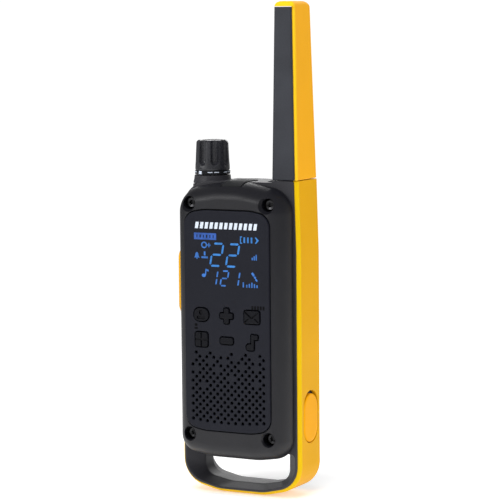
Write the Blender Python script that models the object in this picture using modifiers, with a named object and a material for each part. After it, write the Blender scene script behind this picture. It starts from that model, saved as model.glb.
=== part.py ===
"""Handheld two-way radio with a fixed antenna, a carry loop and a clip on its battery door.

Frame: the origin is the centre of the flat foot, +Z is up towards the antenna, the display and the
keys face -Y, and the antenna stands on the +X side. All sizes below are millimetres; the helpers
turn them into metres.
"""

import math

import bmesh
import bpy
from mathutils import Matrix, Vector

MM = 0.001

# Clearances
GAP = 0.3  # between two pieces at rest
FINE_GAP = 0.2  # between a shaft or a plunger and its hole

# Body, seen from the front
HALF_WIDTH = 26.0
TAPER_Z = 95.0  # above this the sides close in towards the antenna's foot
TOP_HALF = 25.2
FOOT_HALF = 10.0  # half width of the flat foot
FOOT_RISE = 3.7  # how far the bottom edge rises from the foot to the sides
BODY_TOP = 122.6
TOP_FLAT = 5.0  # half width of the flat middle of the top
TOP_DROP = 3.2  # how far the top falls from its middle to the sides
SEAM_Z = 123.5  # where the antenna starts
LOOP_CORNER = 11.0
TOP_CORNER = 10.3

# Body, seen from the side
BAND_FRONT = -9.1
BAND_BACK = 8.4
BAND_CHAMFER = 1.2
BAND_BACK_CHAMFER = 0.5
FRAME_FRONT = -9.9
LIP_BACK = -9.3  # the frame's front lip covers the band's front edge
LIP_INSET = 1.25
FRAME_BACK = 8.1
HOUSING_BACK = -10.3
HOUSING_FRONT = -19.4
PANEL_FRONT = -20.0
PANEL_BACK = -18.2
REAR_FACE = 14.2

# Side band and frame
BAND_THICK = 1.5
BAND_LEFT_TOP = 108.0
FRAME_INSET = BAND_THICK + FINE_GAP
LOOP_HIGH = 17.5
# The carry loop narrows from both faces to a ring: y, half width, lowest z, rise, corner, flat half width
LOOP = (
    (-12.0, 25.7, 1.3, 3.7, 10.5, 10.0),
    (-9.9, 23.9, 2.1, 3.7, 9.0, 10.0),
    (-3.7, 18.6, 3.4, 2.2, 5.5, 7.0),
    (2.8, 18.6, 3.4, 2.2, 5.5, 7.0),
    (8.1, 22.0, 2.9, 3.0, 8.0, 9.0),
    (12.0, 24.5, 2.5, 3.6, 9.5, 10.0),
)
BAY_HALF = 21.6  # half width of the two bays inside the frame
BAY_CORNER = 6.0
BAY_LOW = 20.5
BAY_HIGH = 119.5
WALL_FRONT = -3.8  # the wall between the two bays
WALL_BACK = -2.6

# Front housing
HOUSING_HALF = 23.7
HOUSING_LOW = 14.4
HOUSING_RISE = 2.2
HOUSING_LOW_CORNER = 8.0
HOLLOW_LOW = 18.2  # the housing is solid where it hangs in front of the carry loop
REAR_HALF = 23.5
REAR_LOW = 18.5
HOUSING_WALL = 1.8
HOUSING_INSIDE = -17.0
ROUND_IN = 6.5  # how far the rounded edge comes in towards the front face
PANEL_HALF = 18.4
PANEL_LOW = 26.3
PANEL_HIGH = 112.0
PANEL_FLOOR = PANEL_BACK + GAP

# Fasteners of the front housing: x, z
SCREWS = ((-17.0, 114.5), (17.0, 114.5), (-17.3, 24.2), (17.3, 24.2))
SCREW_HEAD = 2.2
SCREW_FACE = -15.9
SCREW_SHANK = 1.0
RECESS = 2.6
RECESS_FLOOR = -13.6
BLOCK_IN = 13.8  # the frame's screw blocks run from here to its side walls
BLOCK_CORNER = 8.0

# Speaker grille: a square lattice standing on its corner
GRILLE_LEFT = -15.1
GRILLE_PITCH_X = 1.54
GRILLE_PITCH_Z = 1.585
GRILLE_COLUMNS = 21
GRILLE_ROWS = 18
GRILLE_BASE = 29.7
GRILLE_RISE = 0.9  # how much higher the bottom row ends than its middle
GRILLE_STRAIGHT = 10  # rows above this one are straight
GRILLE_HOLE = 0.56
GRILLE_LEFT_OUT = {
    0: (3, 7, 9, 13, 17),
    1: (0, 12, 18),
    2: (5, 9),
    3: (14, 18),
    4: (1, 7),
    6: (11,),
    7: (18,),
    8: (3,),
}
SPEAKER_Z = 43.2

# Keys
KEY_FRONT = -20.35
FLANGE_FRONT = -17.9
FLANGE_BACK = -16.9
UPPER_KEYS = 71.5
LOWER_KEYS = 61.8
KEY_COLUMN = 11.0
# Each key is a few overlapping bars: x, z offset from its centre, width, height, corner radius
KEYS = {
    "key_group": (-KEY_COLUMN, UPPER_KEYS, ((0, 0, 6.4, 5.0, 2.3),)),
    "key_plus": (0.0, UPPER_KEYS, ((0, 0, 5.6, 2.1, 0.5), (0, 0, 2.1, 5.9, 0.5))),
    "key_menu": (KEY_COLUMN, UPPER_KEYS, ((0, 0, 6.6, 5.0, 0.8),)),
    "key_grid": (-KEY_COLUMN, LOWER_KEYS, ((0, 0, 5.4, 5.6, 0.8),)),
    "key_minus": (0.0, LOWER_KEYS, ((0, 0, 5.6, 2.6, 0.8),)),
    "key_note": (
        KEY_COLUMN,
        LOWER_KEYS,
        ((-0.9, -1.9, 3.2, 2.4, 1.1), (0.2, 0, 1.2, 6.1, 0.4), (1.1, 2.0, 2.8, 1.8, 0.5)),
    ),
}

# Knob on top
KNOB_X = -15.7
KNOB_Y = -1.0
KNOB_LOW = 126.2
KNOB_HIGH = 138.0
KNOB_RADIUS = 6.8
KNOB_TOP_RADIUS = 6.4
NECK_RADIUS = 6.65
NECK_LOW = 124.6
COLLAR_LOW = 121.2
COLLAR_HIGH = 124.3
COLLAR_RADIUS = 7.1
COLLAR_FOOT_RADIUS = 7.55
SEAT_RADIUS = 7.9
PEDESTAL_RADIUS = 7.7
FLUTES = 8
FLUTE_RADIUS = 1.6
FLUTE_LOW = 127.3
FLUTE_TURN = math.radians(39.5)
SHAFT_RADIUS = 1.8

# Antenna
ANTENNA_LEFT = 14.7
ANTENNA_LIP = 0.8
ANTENNA_TOP = 191.7
ANTENNA_TOP_LEFT = 16.2
ANTENNA_TOP_RIGHT = 24.4
ANTENNA_BACK = 8.4
ANTENNA_TOP_BACK = 5.0
ANTENNA_SKIN = 1.8

# Push-to-talk button, port cover, top button
PTT_Z = 82.0
PTT_LENGTH = 28.0
PTT_WIDTH = 12.0
PTT_OUT = -29.8
PORT_Y = 0.3
PORT_Z = 31.0
PORT_LENGTH = 20.0
PORT_WIDTH = 12.0
PORT_NOTCH = 1.0  # the cover stops this far short of the top of its hole, for a fingernail
PORT_IN = 24.6
PORT_OUT = 26.1
TOP_BUTTON_X = (-4.0, 4.5)
TOP_BUTTON_Y = (-15.8, -1.5)
TOP_BUTTON_HOLE = ((-4.3, 4.8), (-16.1, -1.2), (118.0, 130.0))

# Battery
CELL_RADIUS = 7.05
CELL_PITCH = 14.3
CELL_Y = 4.8
CELL_LOW = 45.0
CELL_LENGTH = 50.0
DOOR_HALF = 21.0
DOOR_LOW = 33.0
DOOR_HIGH = 103.0
DOOR_BACK = 14.6
DOOR_INSIDE = 12.3
WINDOW_HALF = DOOR_HALF + GAP

# Belt clip
CLIP_PIVOT_Y = 17.6
CLIP_PIVOT_Z = 86.0
CLIP_HALF = 7.5
PIN_RADIUS = 0.75
SPRING_RADIUS = 1.15

COLOURS = {  # base colour, roughness, metallic
    "housing_black": ((0.024, 0.025, 0.029), 0.55, 0.0),
    "panel_black": ((0.029, 0.031, 0.037), 0.35, 0.0),
    "frame_black": ((0.022, 0.023, 0.026), 0.6, 0.0),
    "body_yellow": ((0.82, 0.45, 0.02), 0.42, 0.0),
    "cover_orange": ((0.92, 0.43, 0.02), 0.5, 0.0),
    "antenna_grey": ((0.06, 0.062, 0.067), 0.6, 0.0),
    "rubber_black": ((0.015, 0.015, 0.016), 0.85, 0.0),
    "screw_steel": ((0.08, 0.08, 0.085), 0.35, 1.0),
    "spring_steel": ((0.55, 0.55, 0.56), 0.3, 1.0),
    "nickel": ((0.7, 0.68, 0.62), 0.25, 1.0),
    "board_green": ((0.01, 0.11, 0.05), 0.5, 0.0),
    "display_blue": ((0.05, 0.2, 0.75), 0.3, 0.0),
    "light_guide": ((0.7, 0.75, 0.8), 0.2, 0.0),
    "speaker_paper": ((0.05, 0.05, 0.05), 0.9, 0.0),
    "ferrite": ((0.04, 0.04, 0.042), 0.6, 0.0),
    "copper": ((0.8, 0.35, 0.18), 0.3, 1.0),
    "cell_green": ((0.03, 0.22, 0.08), 0.35, 0.0),
}


# Scene


def clear_scene():
    for obj in list(bpy.data.objects):
        bpy.data.objects.remove(obj, do_unlink=True)


def new_collection(name):
    collection = bpy.data.collections.new(name)
    bpy.context.scene.collection.children.link(collection)
    return collection


def make_materials():
    made = {}
    for name, (colour, roughness, metallic) in COLOURS.items():
        material = bpy.data.materials.new(name)
        material.use_nodes = True
        shader = material.node_tree.nodes["Principled BSDF"]
        shader.inputs["Base Color"].default_value = (*colour, 1.0)
        shader.inputs["Roughness"].default_value = roughness
        shader.inputs["Metallic"].default_value = metallic
        made[name] = material
    return made


clear_scene()
RADIO = new_collection("two_way_radio")
CUTTERS = new_collection("cutters")
MATERIALS = make_materials()


# Outlines


def offset_corners(corners, inset):
    """Move each side of a convex outline inwards and shrink the corner radii to match."""
    moved = []
    for i, (u, v, radius) in enumerate(corners):
        here = Vector((u, v))
        before = (here - Vector(corners[i - 1][:2])).normalized()
        after = (Vector(corners[(i + 1) % len(corners)][:2]) - here).normalized()
        inward = Vector((-before.y - after.y, before.x + after.x))
        point = here + inward * inset / (1 + before.dot(after))
        moved.append((point.x, point.y, max(radius - inset, 0.1)))
    return moved


def outline(corners, inset=0.0, steps=4):
    """Points of a convex anticlockwise outline, given as (u, v, corner radius)."""
    corners = offset_corners(corners, inset)
    points = []
    for i, (u, v, radius) in enumerate(corners):
        here = Vector((u, v))
        before = (here - Vector(corners[i - 1][:2])).normalized()
        after = (Vector(corners[(i + 1) % len(corners)][:2]) - here).normalized()
        inward = Vector((-before.y - after.y, before.x + after.x))
        centre = here + inward * radius / (1 + before.dot(after))
        turn = math.atan2(before.cross(after), before.dot(after))
        arm = Vector((before.y, -before.x)) * radius
        for step in range(steps + 1):
            points.append(centre + Matrix.Rotation(turn * step / steps, 2) @ arm)
    return points


def rectangle(left, right, low, high, radius=0.1):
    return [(left, low, radius), (right, low, radius), (right, high, radius), (left, high, radius)]


def centred(u, v, width, height, radius):
    return rectangle(u - width / 2, u + width / 2, v - height / 2, v + height / 2, radius)


def housing_corners(half, low, low_corner=HOUSING_LOW_CORNER):
    """A housing's front outline: its bottom bows down and its top bows up in the middle."""
    return [
        (-FOOT_HALF, low, 25.0),
        (FOOT_HALF, low, 25.0),
        (half, low + HOUSING_RISE, low_corner),
        (half, BODY_TOP - TOP_DROP, TOP_CORNER),
        (TOP_FLAT, BODY_TOP, 30.0),
        (-TOP_FLAT, BODY_TOP, 30.0),
        (-half, BODY_TOP - TOP_DROP, TOP_CORNER),
        (-half, low + HOUSING_RISE, low_corner),
    ]


def loop_corners(half, low, rise, corner, flat):
    return [
        (-flat, low, 20.0),
        (flat, low, 20.0),
        (half, low + rise, corner),
        (half, LOOP_HIGH, 2.0),
        (-half, LOOP_HIGH, 2.0),
        (-half, low + rise, corner),
    ]


BAND_TOP = SEAM_Z - GAP + FRAME_INSET
BAND_OUTLINE = [
    (-FOOT_HALF, 0.0, 25.0),
    (FOOT_HALF, 0.0, 25.0),
    (HALF_WIDTH, FOOT_RISE, LOOP_CORNER),
    (HALF_WIDTH, TAPER_Z, 80.0),
    (TOP_HALF, BAND_TOP, 2.5),
    (-TOP_FLAT, BAND_TOP, 30.0),
    (-TOP_HALF, BAND_TOP - TOP_DROP, TOP_CORNER + FRAME_INSET),
    (-HALF_WIDTH, TAPER_Z, 80.0),
    (-HALF_WIDTH, FOOT_RISE, LOOP_CORNER),
]
HOUSING_OUTLINE = housing_corners(HOUSING_HALF, HOUSING_LOW)
HOLLOW_OUTLINE = housing_corners(HOUSING_HALF, HOLLOW_LOW)
REAR_OUTLINE = housing_corners(REAR_HALF, REAR_LOW, LOOP_CORNER)
PANEL_OUTLINE = [
    (-FOOT_HALF, PANEL_LOW, 20.0),
    (FOOT_HALF, PANEL_LOW, 20.0),
    (PANEL_HALF, PANEL_LOW + 1.5, 5.5),
    (PANEL_HALF, PANEL_HIGH - 1.5, 5.5),
    (FOOT_HALF, PANEL_HIGH, 20.0),
    (-FOOT_HALF, PANEL_HIGH, 20.0),
    (-PANEL_HALF, PANEL_HIGH - 1.5, 5.5),
    (-PANEL_HALF, PANEL_LOW + 1.5, 5.5),
]


# Solids


def placed(u, v, w, axis):
    """A point of an outline at depth w along an axis, in metres."""
    along = {"X": (w, u, v), "Y": (u, w, v), "Z": (u, v, w)}
    return Vector(along[axis]) * MM


def as_object(name, bm, material=None):
    """Make an object from a bmesh, in the radio's collection or, with no material, as a cutter."""
    bmesh.ops.recalc_face_normals(bm, faces=bm.faces)
    mesh = bpy.data.meshes.new(name)
    bm.to_mesh(mesh)
    bm.free()
    obj = bpy.data.objects.new(name, mesh)
    if material:
        mesh.materials.append(MATERIALS[material])
        RADIO.objects.link(obj)
    else:
        CUTTERS.objects.link(obj)
        obj.hide_render = True
        obj.display_type = "WIRE"
    return obj


def prism(name, points, low, high, axis="Y", material=None):
    bm = bmesh.new()
    face = bm.faces.new([bm.verts.new(placed(u, v, low, axis)) for u, v in points])
    grown = bmesh.ops.extrude_face_region(bm, geom=[face])["geom"]
    moved = [item for item in grown if isinstance(item, bmesh.types.BMVert)]
    bmesh.ops.translate(bm, verts=moved, vec=placed(0, 0, high - low, axis))
    return as_object(name, bm, material)


def loft(name, sections, axis="Y", material=None):
    """Skin a solid through outlines of equal point count, given as (depth, points)."""
    bm = bmesh.new()
    rings = [[bm.verts.new(placed(u, v, w, axis)) for u, v in points] for w, points in sections]
    for ring, following in zip(rings, rings[1:]):
        for i in range(len(ring)):
            bm.faces.new((ring[i - 1], ring[i], following[i], following[i - 1]))
    bm.faces.new(rings[0])
    bm.faces.new(rings[-1])
    return as_object(name, bm, material)


def box(name, x, y, z, material=None):
    """A box between two limits on each axis."""
    bm = bmesh.new()
    size = Vector((x[1] - x[0], y[1] - y[0], z[1] - z[0])) * MM
    middle = Vector((x[0] + x[1], y[0] + y[1], z[0] + z[1])) * MM / 2
    bmesh.ops.create_cube(bm, size=1.0, matrix=Matrix.Translation(middle) @ Matrix.Diagonal((*size, 1)))
    return as_object(name, bm, material)


TURN_TO = {
    "X": Matrix.Rotation(math.radians(90), 4, "Y"),
    "Y": Matrix.Rotation(math.radians(-90), 4, "X"),
    "Z": Matrix.Identity(4),
}


def rod(name, radius, low, high, centre, axis="Y", segments=16, material=None, end_radius=None):
    """A cylinder, or a cone, between two depths along an axis; the centre is (u, v) across it."""
    bm = bmesh.new()
    middle = placed(centre[0], centre[1], (low + high) / 2, axis)
    bmesh.ops.create_cone(
        bm,
        cap_ends=True,
        segments=segments,
        radius1=radius * MM,
        radius2=(radius if end_radius is None else end_radius) * MM,
        depth=(high - low) * MM,
        matrix=Matrix.Translation(middle) @ TURN_TO[axis],
    )
    return as_object(name, bm, material)


def turned(name, profile, centre, material, steps=24, facing_front=False):
    """Turn a profile of (radius, height) about +Z or, facing the front, about -Y."""
    mesh = bpy.data.meshes.new(name)
    closed = profile[0][0] > 0
    count = len(profile)
    edges = [(i, (i + 1) % count) for i in range(count if closed else count - 1)]
    mesh.from_pydata([(r * MM, 0, h * MM) for r, h in profile], edges, [])
    mesh.materials.append(MATERIALS[material])
    obj = bpy.data.objects.new(name, mesh)
    obj.location = Vector(centre) * MM
    if facing_front:
        obj.rotation_euler = (math.radians(90), 0, 0)
    RADIO.objects.link(obj)
    screw = obj.modifiers.new("turn", "SCREW")
    screw.steps = screw.render_steps = steps
    screw.use_merge_vertices = True
    screw.merge_threshold = 1e-5
    return obj


def combine(obj, other, operation):
    """Join, cut or keep what is shared, with the other object kept as a hidden helper."""
    if other.name in RADIO.objects:
        RADIO.objects.unlink(other)
        CUTTERS.objects.link(other)
        other.hide_render = True
        other.display_type = "WIRE"
    modifier = obj.modifiers.new(other.name, "BOOLEAN")
    modifier.operation = operation
    modifier.object = other
    return obj


def cut(obj, *others):
    for other in others:
        combine(obj, other, "DIFFERENCE")
    return obj


def join(obj, *others):
    for other in others:
        combine(obj, other, "UNION")
    return obj


def bevel(obj, width, segments=2, angle=40):
    modifier = obj.modifiers.new("rounded edges", "BEVEL")
    modifier.width = width * MM
    modifier.segments = segments
    modifier.limit_method = "ANGLE"
    modifier.angle_limit = math.radians(angle)
    return obj


def hang(name, place, *pieces, parent=None):
    """Put an empty at a joint's place, and parent the pieces that move with it."""
    empty = bpy.data.objects.new(name, None)
    empty.empty_display_size = 5 * MM
    empty.location = Vector(place) * MM
    RADIO.objects.link(empty)
    for piece in pieces:
        piece.parent = empty
        piece.matrix_parent_inverse = Matrix.Translation(-empty.location)
    if parent:
        empty.parent = parent
        empty.matrix_parent_inverse = Matrix.Translation(-parent.location)
    return empty


# Housing and frame


def quarter_round(outer_inset, round_in, back, front, corners, steps=4, rounds=5):
    """Sections of a dished shell whose edge follows a quarter ellipse from back to front."""
    sections = []
    for step in range(rounds + 1):
        angle = math.radians(86) * step / rounds
        inset = outer_inset + round_in * (1 - math.cos(angle))
        depth = back + (front - back) * math.sin(angle) / math.sin(math.radians(86))
        sections.append((depth, outline(corners, inset, steps)))
    return sections


def make_front_housing():
    shell = loft(
        "front_housing",
        quarter_round(0.0, ROUND_IN, HOUSING_BACK, HOUSING_FRONT, HOUSING_OUTLINE),
        material="housing_black",
    )
    inner = quarter_round(HOUSING_WALL, 5.2, HOUSING_BACK, HOUSING_INSIDE, HOLLOW_OUTLINE)
    inner.insert(0, (HOUSING_BACK + 1.0, outline(HOLLOW_OUTLINE, HOUSING_WALL)))
    hollow = loft("housing_hollow", inner)
    for number, (x, z) in enumerate(SCREWS, 1):
        # Each post is a place where the hollow is left out, so it ends at the housing's outer face
        post = f"housing_post_{number}"
        cut(hollow, rod(post, RECESS + 1.2, -20, HOUSING_BACK - 0.6, (x, z), segments=12))
    cut(shell, hollow)
    for number, (x, z) in enumerate(SCREWS, 1):
        recess = f"screw_recess_{number}"
        hole = f"housing_screw_hole_{number}"
        cut(shell, rod(recess, RECESS, HOUSING_FRONT - 1, RECESS_FLOOR, (x, z), segments=16))
        shank = SCREW_SHANK + FINE_GAP
        cut(shell, rod(hole, shank, RECESS_FLOOR - 1, HOUSING_BACK + 1, (x, z), segments=12))
    seat = prism("panel_seat", outline(PANEL_OUTLINE, -GAP), HOUSING_FRONT - 2, PANEL_FLOOR)
    windows = (
        box("display_window", (-15.4, 15.4), (-19, -16), (79.5, 108.5)),
        box("key_window", (-16.4, 16.4), (-19, -16), (57.6, 76.4)),
        box("speaker_window", (-16.2, 16.8), (-19, -16), (28.8, 57.0)),
    )
    return cut(shell, seat, *windows, box("housing_button_notch", *TOP_BUTTON_HOLE))


def grille_holes():
    """Centres of the grille holes: every second column on each row, in turn."""
    for row in range(GRILLE_ROWS):
        for column in range(1 - row % 2, GRILLE_COLUMNS, 2):
            if column in GRILLE_LEFT_OUT.get(row, ()):
                continue
            x = GRILLE_LEFT + GRILLE_PITCH_X * column
            fade = max(0.0, (row - GRILLE_STRAIGHT) / (GRILLE_ROWS - 1 - GRILLE_STRAIGHT))
            lift = GRILLE_RISE * fade * (x / GRILLE_LEFT) ** 2
            z = GRILLE_BASE + GRILLE_PITCH_Z * (GRILLE_ROWS - 1 - row) + lift
            yield x, z


def grille_cutter():
    bm = bmesh.new()
    middle = (PANEL_FRONT + PANEL_BACK) / 2
    for x, z in grille_holes():
        bmesh.ops.create_cone(
            bm,
            cap_ends=True,
            segments=6,
            radius1=GRILLE_HOLE * MM,
            radius2=GRILLE_HOLE * MM,
            depth=6 * MM,
            matrix=Matrix.Translation(placed(x, z, middle, "Y")) @ TURN_TO["Y"],
        )
    return as_object("grille_holes", bm)


def key_bars(name, grow, front, back, material=None):
    """The bars of a key as overlapping prisms, grown all round."""
    x, z, bars = KEYS[name]
    made = []
    for number, (u, v, width, height, radius) in enumerate(bars):
        bar = centred(x + u, z + v, width, height, radius)
        kind = "hole" if grow else "cap"
        label = name if material and number == 0 else f"{name}_bar_{number}_{kind}"
        slot = material if number == 0 else None
        # Bars end at slightly different depths, so that no two end faces share a plane
        made.append(prism(label, outline(bar, -grow, 3), front, back - 0.05 * number, material=slot))
    return made


def make_front_panel():
    panel = prism("front_panel", outline(PANEL_OUTLINE), PANEL_FRONT, PANEL_BACK, material="panel_black")
    for name in KEYS:
        cut(panel, *key_bars(name, GAP, PANEL_FRONT - 1, PANEL_BACK + 1))
    return cut(panel, grille_cutter())


def make_key(name):
    x, z, _ = KEYS[name]
    cap, *bars = key_bars(name, 0.0, KEY_FRONT, FLANGE_BACK - 0.4, "rubber_black")
    flange = prism(f"{name}_flange", outline(centred(x, z, 8.4, 7.6, 1.2)), FLANGE_FRONT, FLANGE_BACK)
    return join(cap, *bars, flange)


def make_front_screw(number, x, z):
    name = f"front_screw_{number}"
    screw = rod(name, SCREW_HEAD, SCREW_FACE, SCREW_FACE + 2, (x, z), material="screw_steel")
    slot = f"screw_slot_{number}"
    cut(screw, rod(slot, 1.1, SCREW_FACE - 1, SCREW_FACE + 0.9, (x, z), segments=6))
    shank = f"screw_shank_{number}"
    return join(screw, rod(shank, SCREW_SHANK, SCREW_FACE + 1.5, -5.6, (x, z), segments=12))


def make_side_band():
    ends = (
        (BAND_FRONT, outline(BAND_OUTLINE, BAND_CHAMFER, 5)),
        (BAND_FRONT + BAND_CHAMFER, outline(BAND_OUTLINE, 0.0, 5)),
        (BAND_BACK - BAND_BACK_CHAMFER, outline(BAND_OUTLINE, 0.0, 5)),
        (BAND_BACK, outline(BAND_OUTLINE, BAND_BACK_CHAMFER, 5)),
    )
    band = loft("side_band", ends, material="body_yellow")
    inside = outline(BAND_OUTLINE, BAND_THICK, 5)
    cut(band, prism("band_inside", inside, BAND_FRONT - 2, BAND_BACK + 2))
    cut(band, box("band_top", (-30, 30), (-12, 12), (SEAM_Z - GAP, 130)))
    cut(band, box("band_left_top", (-30, 21), (-12, 12), (BAND_LEFT_TOP, 131)))
    ptt = centred(0, PTT_Z, PTT_WIDTH + 2 * GAP, PTT_LENGTH + 2 * GAP, 5.0)
    cut(band, prism("band_ptt_hole", outline(ptt), -28, -21, axis="X"))
    port = centred(PORT_Y, PORT_Z, PORT_WIDTH + 2 * GAP, PORT_LENGTH + 2 * GAP, 6.2)
    return cut(band, prism("band_port_hole", outline(port), 21, 28, axis="X"))


def screw_block(x, z):
    """Corners of the block behind a screw: the upper ones are rounded to stay inside the frame."""
    side = math.copysign(1, x)
    left, right = sorted((side * BLOCK_IN, side * (BAY_HALF + 0.5)))
    if z < SPEAKER_Z:
        return rectangle(left, right, BAY_LOW - 0.5, 28.4)
    corners = rectangle(left, right, 111.0, BAY_HIGH + 0.5)
    outer = 2 if side > 0 else 3
    corners[outer] = (*corners[outer][:2], BLOCK_CORNER)
    return corners


def make_mid_frame():
    lip = outline(BAND_OUTLINE, LIP_INSET, 5)
    core = outline(BAND_OUTLINE, FRAME_INSET, 5)
    sections = ((FRAME_FRONT, lip), (LIP_BACK, lip), (LIP_BACK, core), (FRAME_BACK, core))
    frame = loft("mid_frame", sections, material="frame_black")
    cut(frame, box("under_antenna", (-30, 30), (-12, 12), (SEAM_Z - GAP, 130)))
    cut(frame, box("beside_antenna", (-30, ANTENNA_LEFT), (-12, 12), (BODY_TOP, 129)))
    pedestal = (BAND_LEFT_TOP + 4.0, COLLAR_LOW - 0.4)
    join(frame, rod("knob_pedestal", PEDESTAL_RADIUS, *pedestal, (KNOB_X, KNOB_Y), axis="Z"))
    cut(frame, rod("collar_seat", SEAT_RADIUS, COLLAR_LOW - 0.4, 130, (KNOB_X, KNOB_Y), axis="Z"))
    cut(frame, loft("loop_opening", [(y, outline(loop_corners(*size), 0.0, 6)) for y, *size in LOOP]))
    bay = outline(rectangle(-BAY_HALF, BAY_HALF, BAY_LOW, BAY_HIGH, BAY_CORNER))
    cut(frame, prism("front_bay", bay, -12, WALL_FRONT), prism("rear_bay", bay, WALL_BACK, 12))
    for number, (x, z) in enumerate(SCREWS, 1):
        block = prism(f"screw_block_{number}", outline(screw_block(x, z)), FRAME_FRONT + 0.2, -5.0)
        join(frame, block)
    for number, place in enumerate(SCREWS, 1):
        hole = f"frame_screw_hole_{number}"
        cut(frame, rod(hole, SCREW_SHANK + FINE_GAP, -12, -5.3, place, segments=12))
    cut(
        frame,
        box("pot_pocket", (KNOB_X - 4.3, KNOB_X + 4.3), (-4.9, 3.9), (106.0, 117.6)),
        rod("collar_hole", 3.8, 115, 126, (KNOB_X, KNOB_Y), axis="Z"),
        box("top_switch_pocket", (-3.5, 4.0), (-6.5, -1.5), (113.6, 119.8)),
        box("top_button_hole", *TOP_BUTTON_HOLE),
        box("antenna_hole", (18.4, 21.8), (-1.6, 2.4), (114.0, 130.0)),
        box("frame_ptt_hole", (-28, -20), (-6.1, -3.95), (77.8, 86.8)),
        prism("ptt_pocket", outline(centred(0, PTT_Z, 12.6, 28.6, 5.0)), -28, -22.4, axis="X"),
        box("usb_opening", (20, 26), (PORT_Y - 2.4, PORT_Y + 2.4), (23.6, 32.4)),
        rod("jack_opening", 2.8, 20, 26, (PORT_Y, 37.0), axis="X", segments=12),
    )
    return frame


def make_rear_housing():
    rear = loft(
        "rear_housing",
        quarter_round(0.0, 3.0, FRAME_BACK + GAP, REAR_FACE, REAR_OUTLINE, rounds=3),
        material="housing_black",
    )
    floor = REAR_FACE - 2.0
    inner = (
        (FRAME_BACK - 1, outline(REAR_OUTLINE, 1.6)),
        (FRAME_BACK + 2, outline(REAR_OUTLINE, 1.8)),
        (floor, outline(REAR_OUTLINE, 3.6)),
    )
    cut(rear, loft("rear_hollow", inner))
    low, high = DOOR_LOW - GAP, DOOR_HIGH + GAP
    return cut(rear, box("door_window", (-WINDOW_HALF, WINDOW_HALF), (9, 16), (low, high)))


# Electronics


def make_display():
    box("display_module", (-15.2, 15.2), (-16.4, -14.7), (80.0, 108.0), "display_blue")
    box("display_diffuser", (-14.8, 14.8), (-17.7, -16.8), (80.2, 107.8), "light_guide")


def make_keypad_sheet():
    shape = outline(rectangle(-17.0, 17.0, 57.9, 77.6, 2.0))
    sheet = prism("keypad_sheet", shape, -16.0, -15.0, material="rubber_black")
    for name, (x, z, _) in KEYS.items():
        join(sheet, rod(f"{name}_dome", 2.2, -15.4, -14.6, (x, z), segments=10))
    return sheet


def make_main_board():
    board = box("main_board", (-19.0, 19.0), (-14.2, -12.9), (59.4, 109.0), "board_green")
    shield = box("rf_shield", (-14.0, 12.0), (-12.6, -9.6), (82.0, 106.0), "nickel")
    bevel(shield, 0.5)
    return cut(board, rod("board_notch", 3.0, -15, -12, (19.0, 61.0)))


def make_speaker():
    centre = (0, 0, SPEAKER_Z)
    basket = (
        (14.3, 16.6), (14.3, 14.6), (9.8, 11.0), (9.8, 10.0), (3.0, 10.0),
        (3.0, 11.0), (8.4, 11.4), (12.7, 15.3), (12.7, 16.6),
    )
    turned("speaker_basket", basket, centre, "nickel", 20, facing_front=True)
    cone = ((0, 12.9), (3.8, 12.9), (11.8, 16.2), (12.3, 16.2), (12.3, 15.7), (4.0, 12.4), (0, 12.4))
    turned("speaker_cone", cone, centre, "speaker_paper", 20, facing_front=True)
    magnet = rod("speaker_magnet", 9.0, -9.7, -5.0, (0, SPEAKER_Z), segments=24, material="ferrite")
    bevel(magnet, 0.4, 1)
    box("speaker_cloth", (-15.6, 15.6), (-17.85, -17.4), (30.6, 56.0), "rubber_black")
    rod("microphone", 2.0, -16.6, -14.8, (13.2, 32.2), material="nickel")


def make_sockets():
    usb = box("usb_socket", (14.0, 22.9), (PORT_Y - 2.1, PORT_Y + 2.1), (24.0, 32.0), "nickel")
    cut(usb, box("usb_mouth", (17.0, 24.0), (PORT_Y - 1.4, PORT_Y + 1.4), (24.7, 31.3)))
    jack = box("audio_jack", (10.5, 20.4), (PORT_Y - 2.5, PORT_Y + 3.5), (33.6, 40.4), "frame_black")
    join(jack, rod("jack_barrel", 2.4, 20.0, 22.9, (PORT_Y, 37.0), axis="X", segments=12))
    cut(jack, rod("jack_bore", 1.7, 12.0, 24.0, (PORT_Y, 37.0), axis="X", segments=10))


# Controls


def make_volume_control():
    pot = box("volume_pot", (KNOB_X - 4.0, KNOB_X + 4.0), (-4.6, 3.6), (106.4, 117.2), "nickel")
    centre = (KNOB_X, KNOB_Y)
    cut(pot, rod("pot_bore", SHAFT_RADIUS + FINE_GAP, 111.0, 118.0, centre, axis="Z", segments=12))
    shaft_top = KNOB_HIGH - 3.0
    shaft = rod("volume_shaft", SHAFT_RADIUS, 111.5, shaft_top, centre, "Z", 12, "nickel")
    collar = (
        (COLLAR_FOOT_RADIUS, COLLAR_LOW + 0.8), (COLLAR_FOOT_RADIUS, COLLAR_LOW), (3.5, COLLAR_LOW),
        (3.5, 118.8), (2.1, 118.8), (2.1, 122.8), (3.9, 122.8), (3.9, COLLAR_HIGH),
        (COLLAR_RADIUS, COLLAR_HIGH),
    )
    turned("knob_collar", collar, (KNOB_X, KNOB_Y, 0), "housing_black")
    seal = ((3.5, 123.9), (3.5, 123.1), (2.0, 123.1), (2.0, 123.9))
    turned("knob_seal", seal, (KNOB_X, KNOB_Y, 0), "rubber_black", 16)
    knob = make_knob(shaft_top)
    hang("volume_axis", (KNOB_X, KNOB_Y, KNOB_LOW), knob, shaft)


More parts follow.
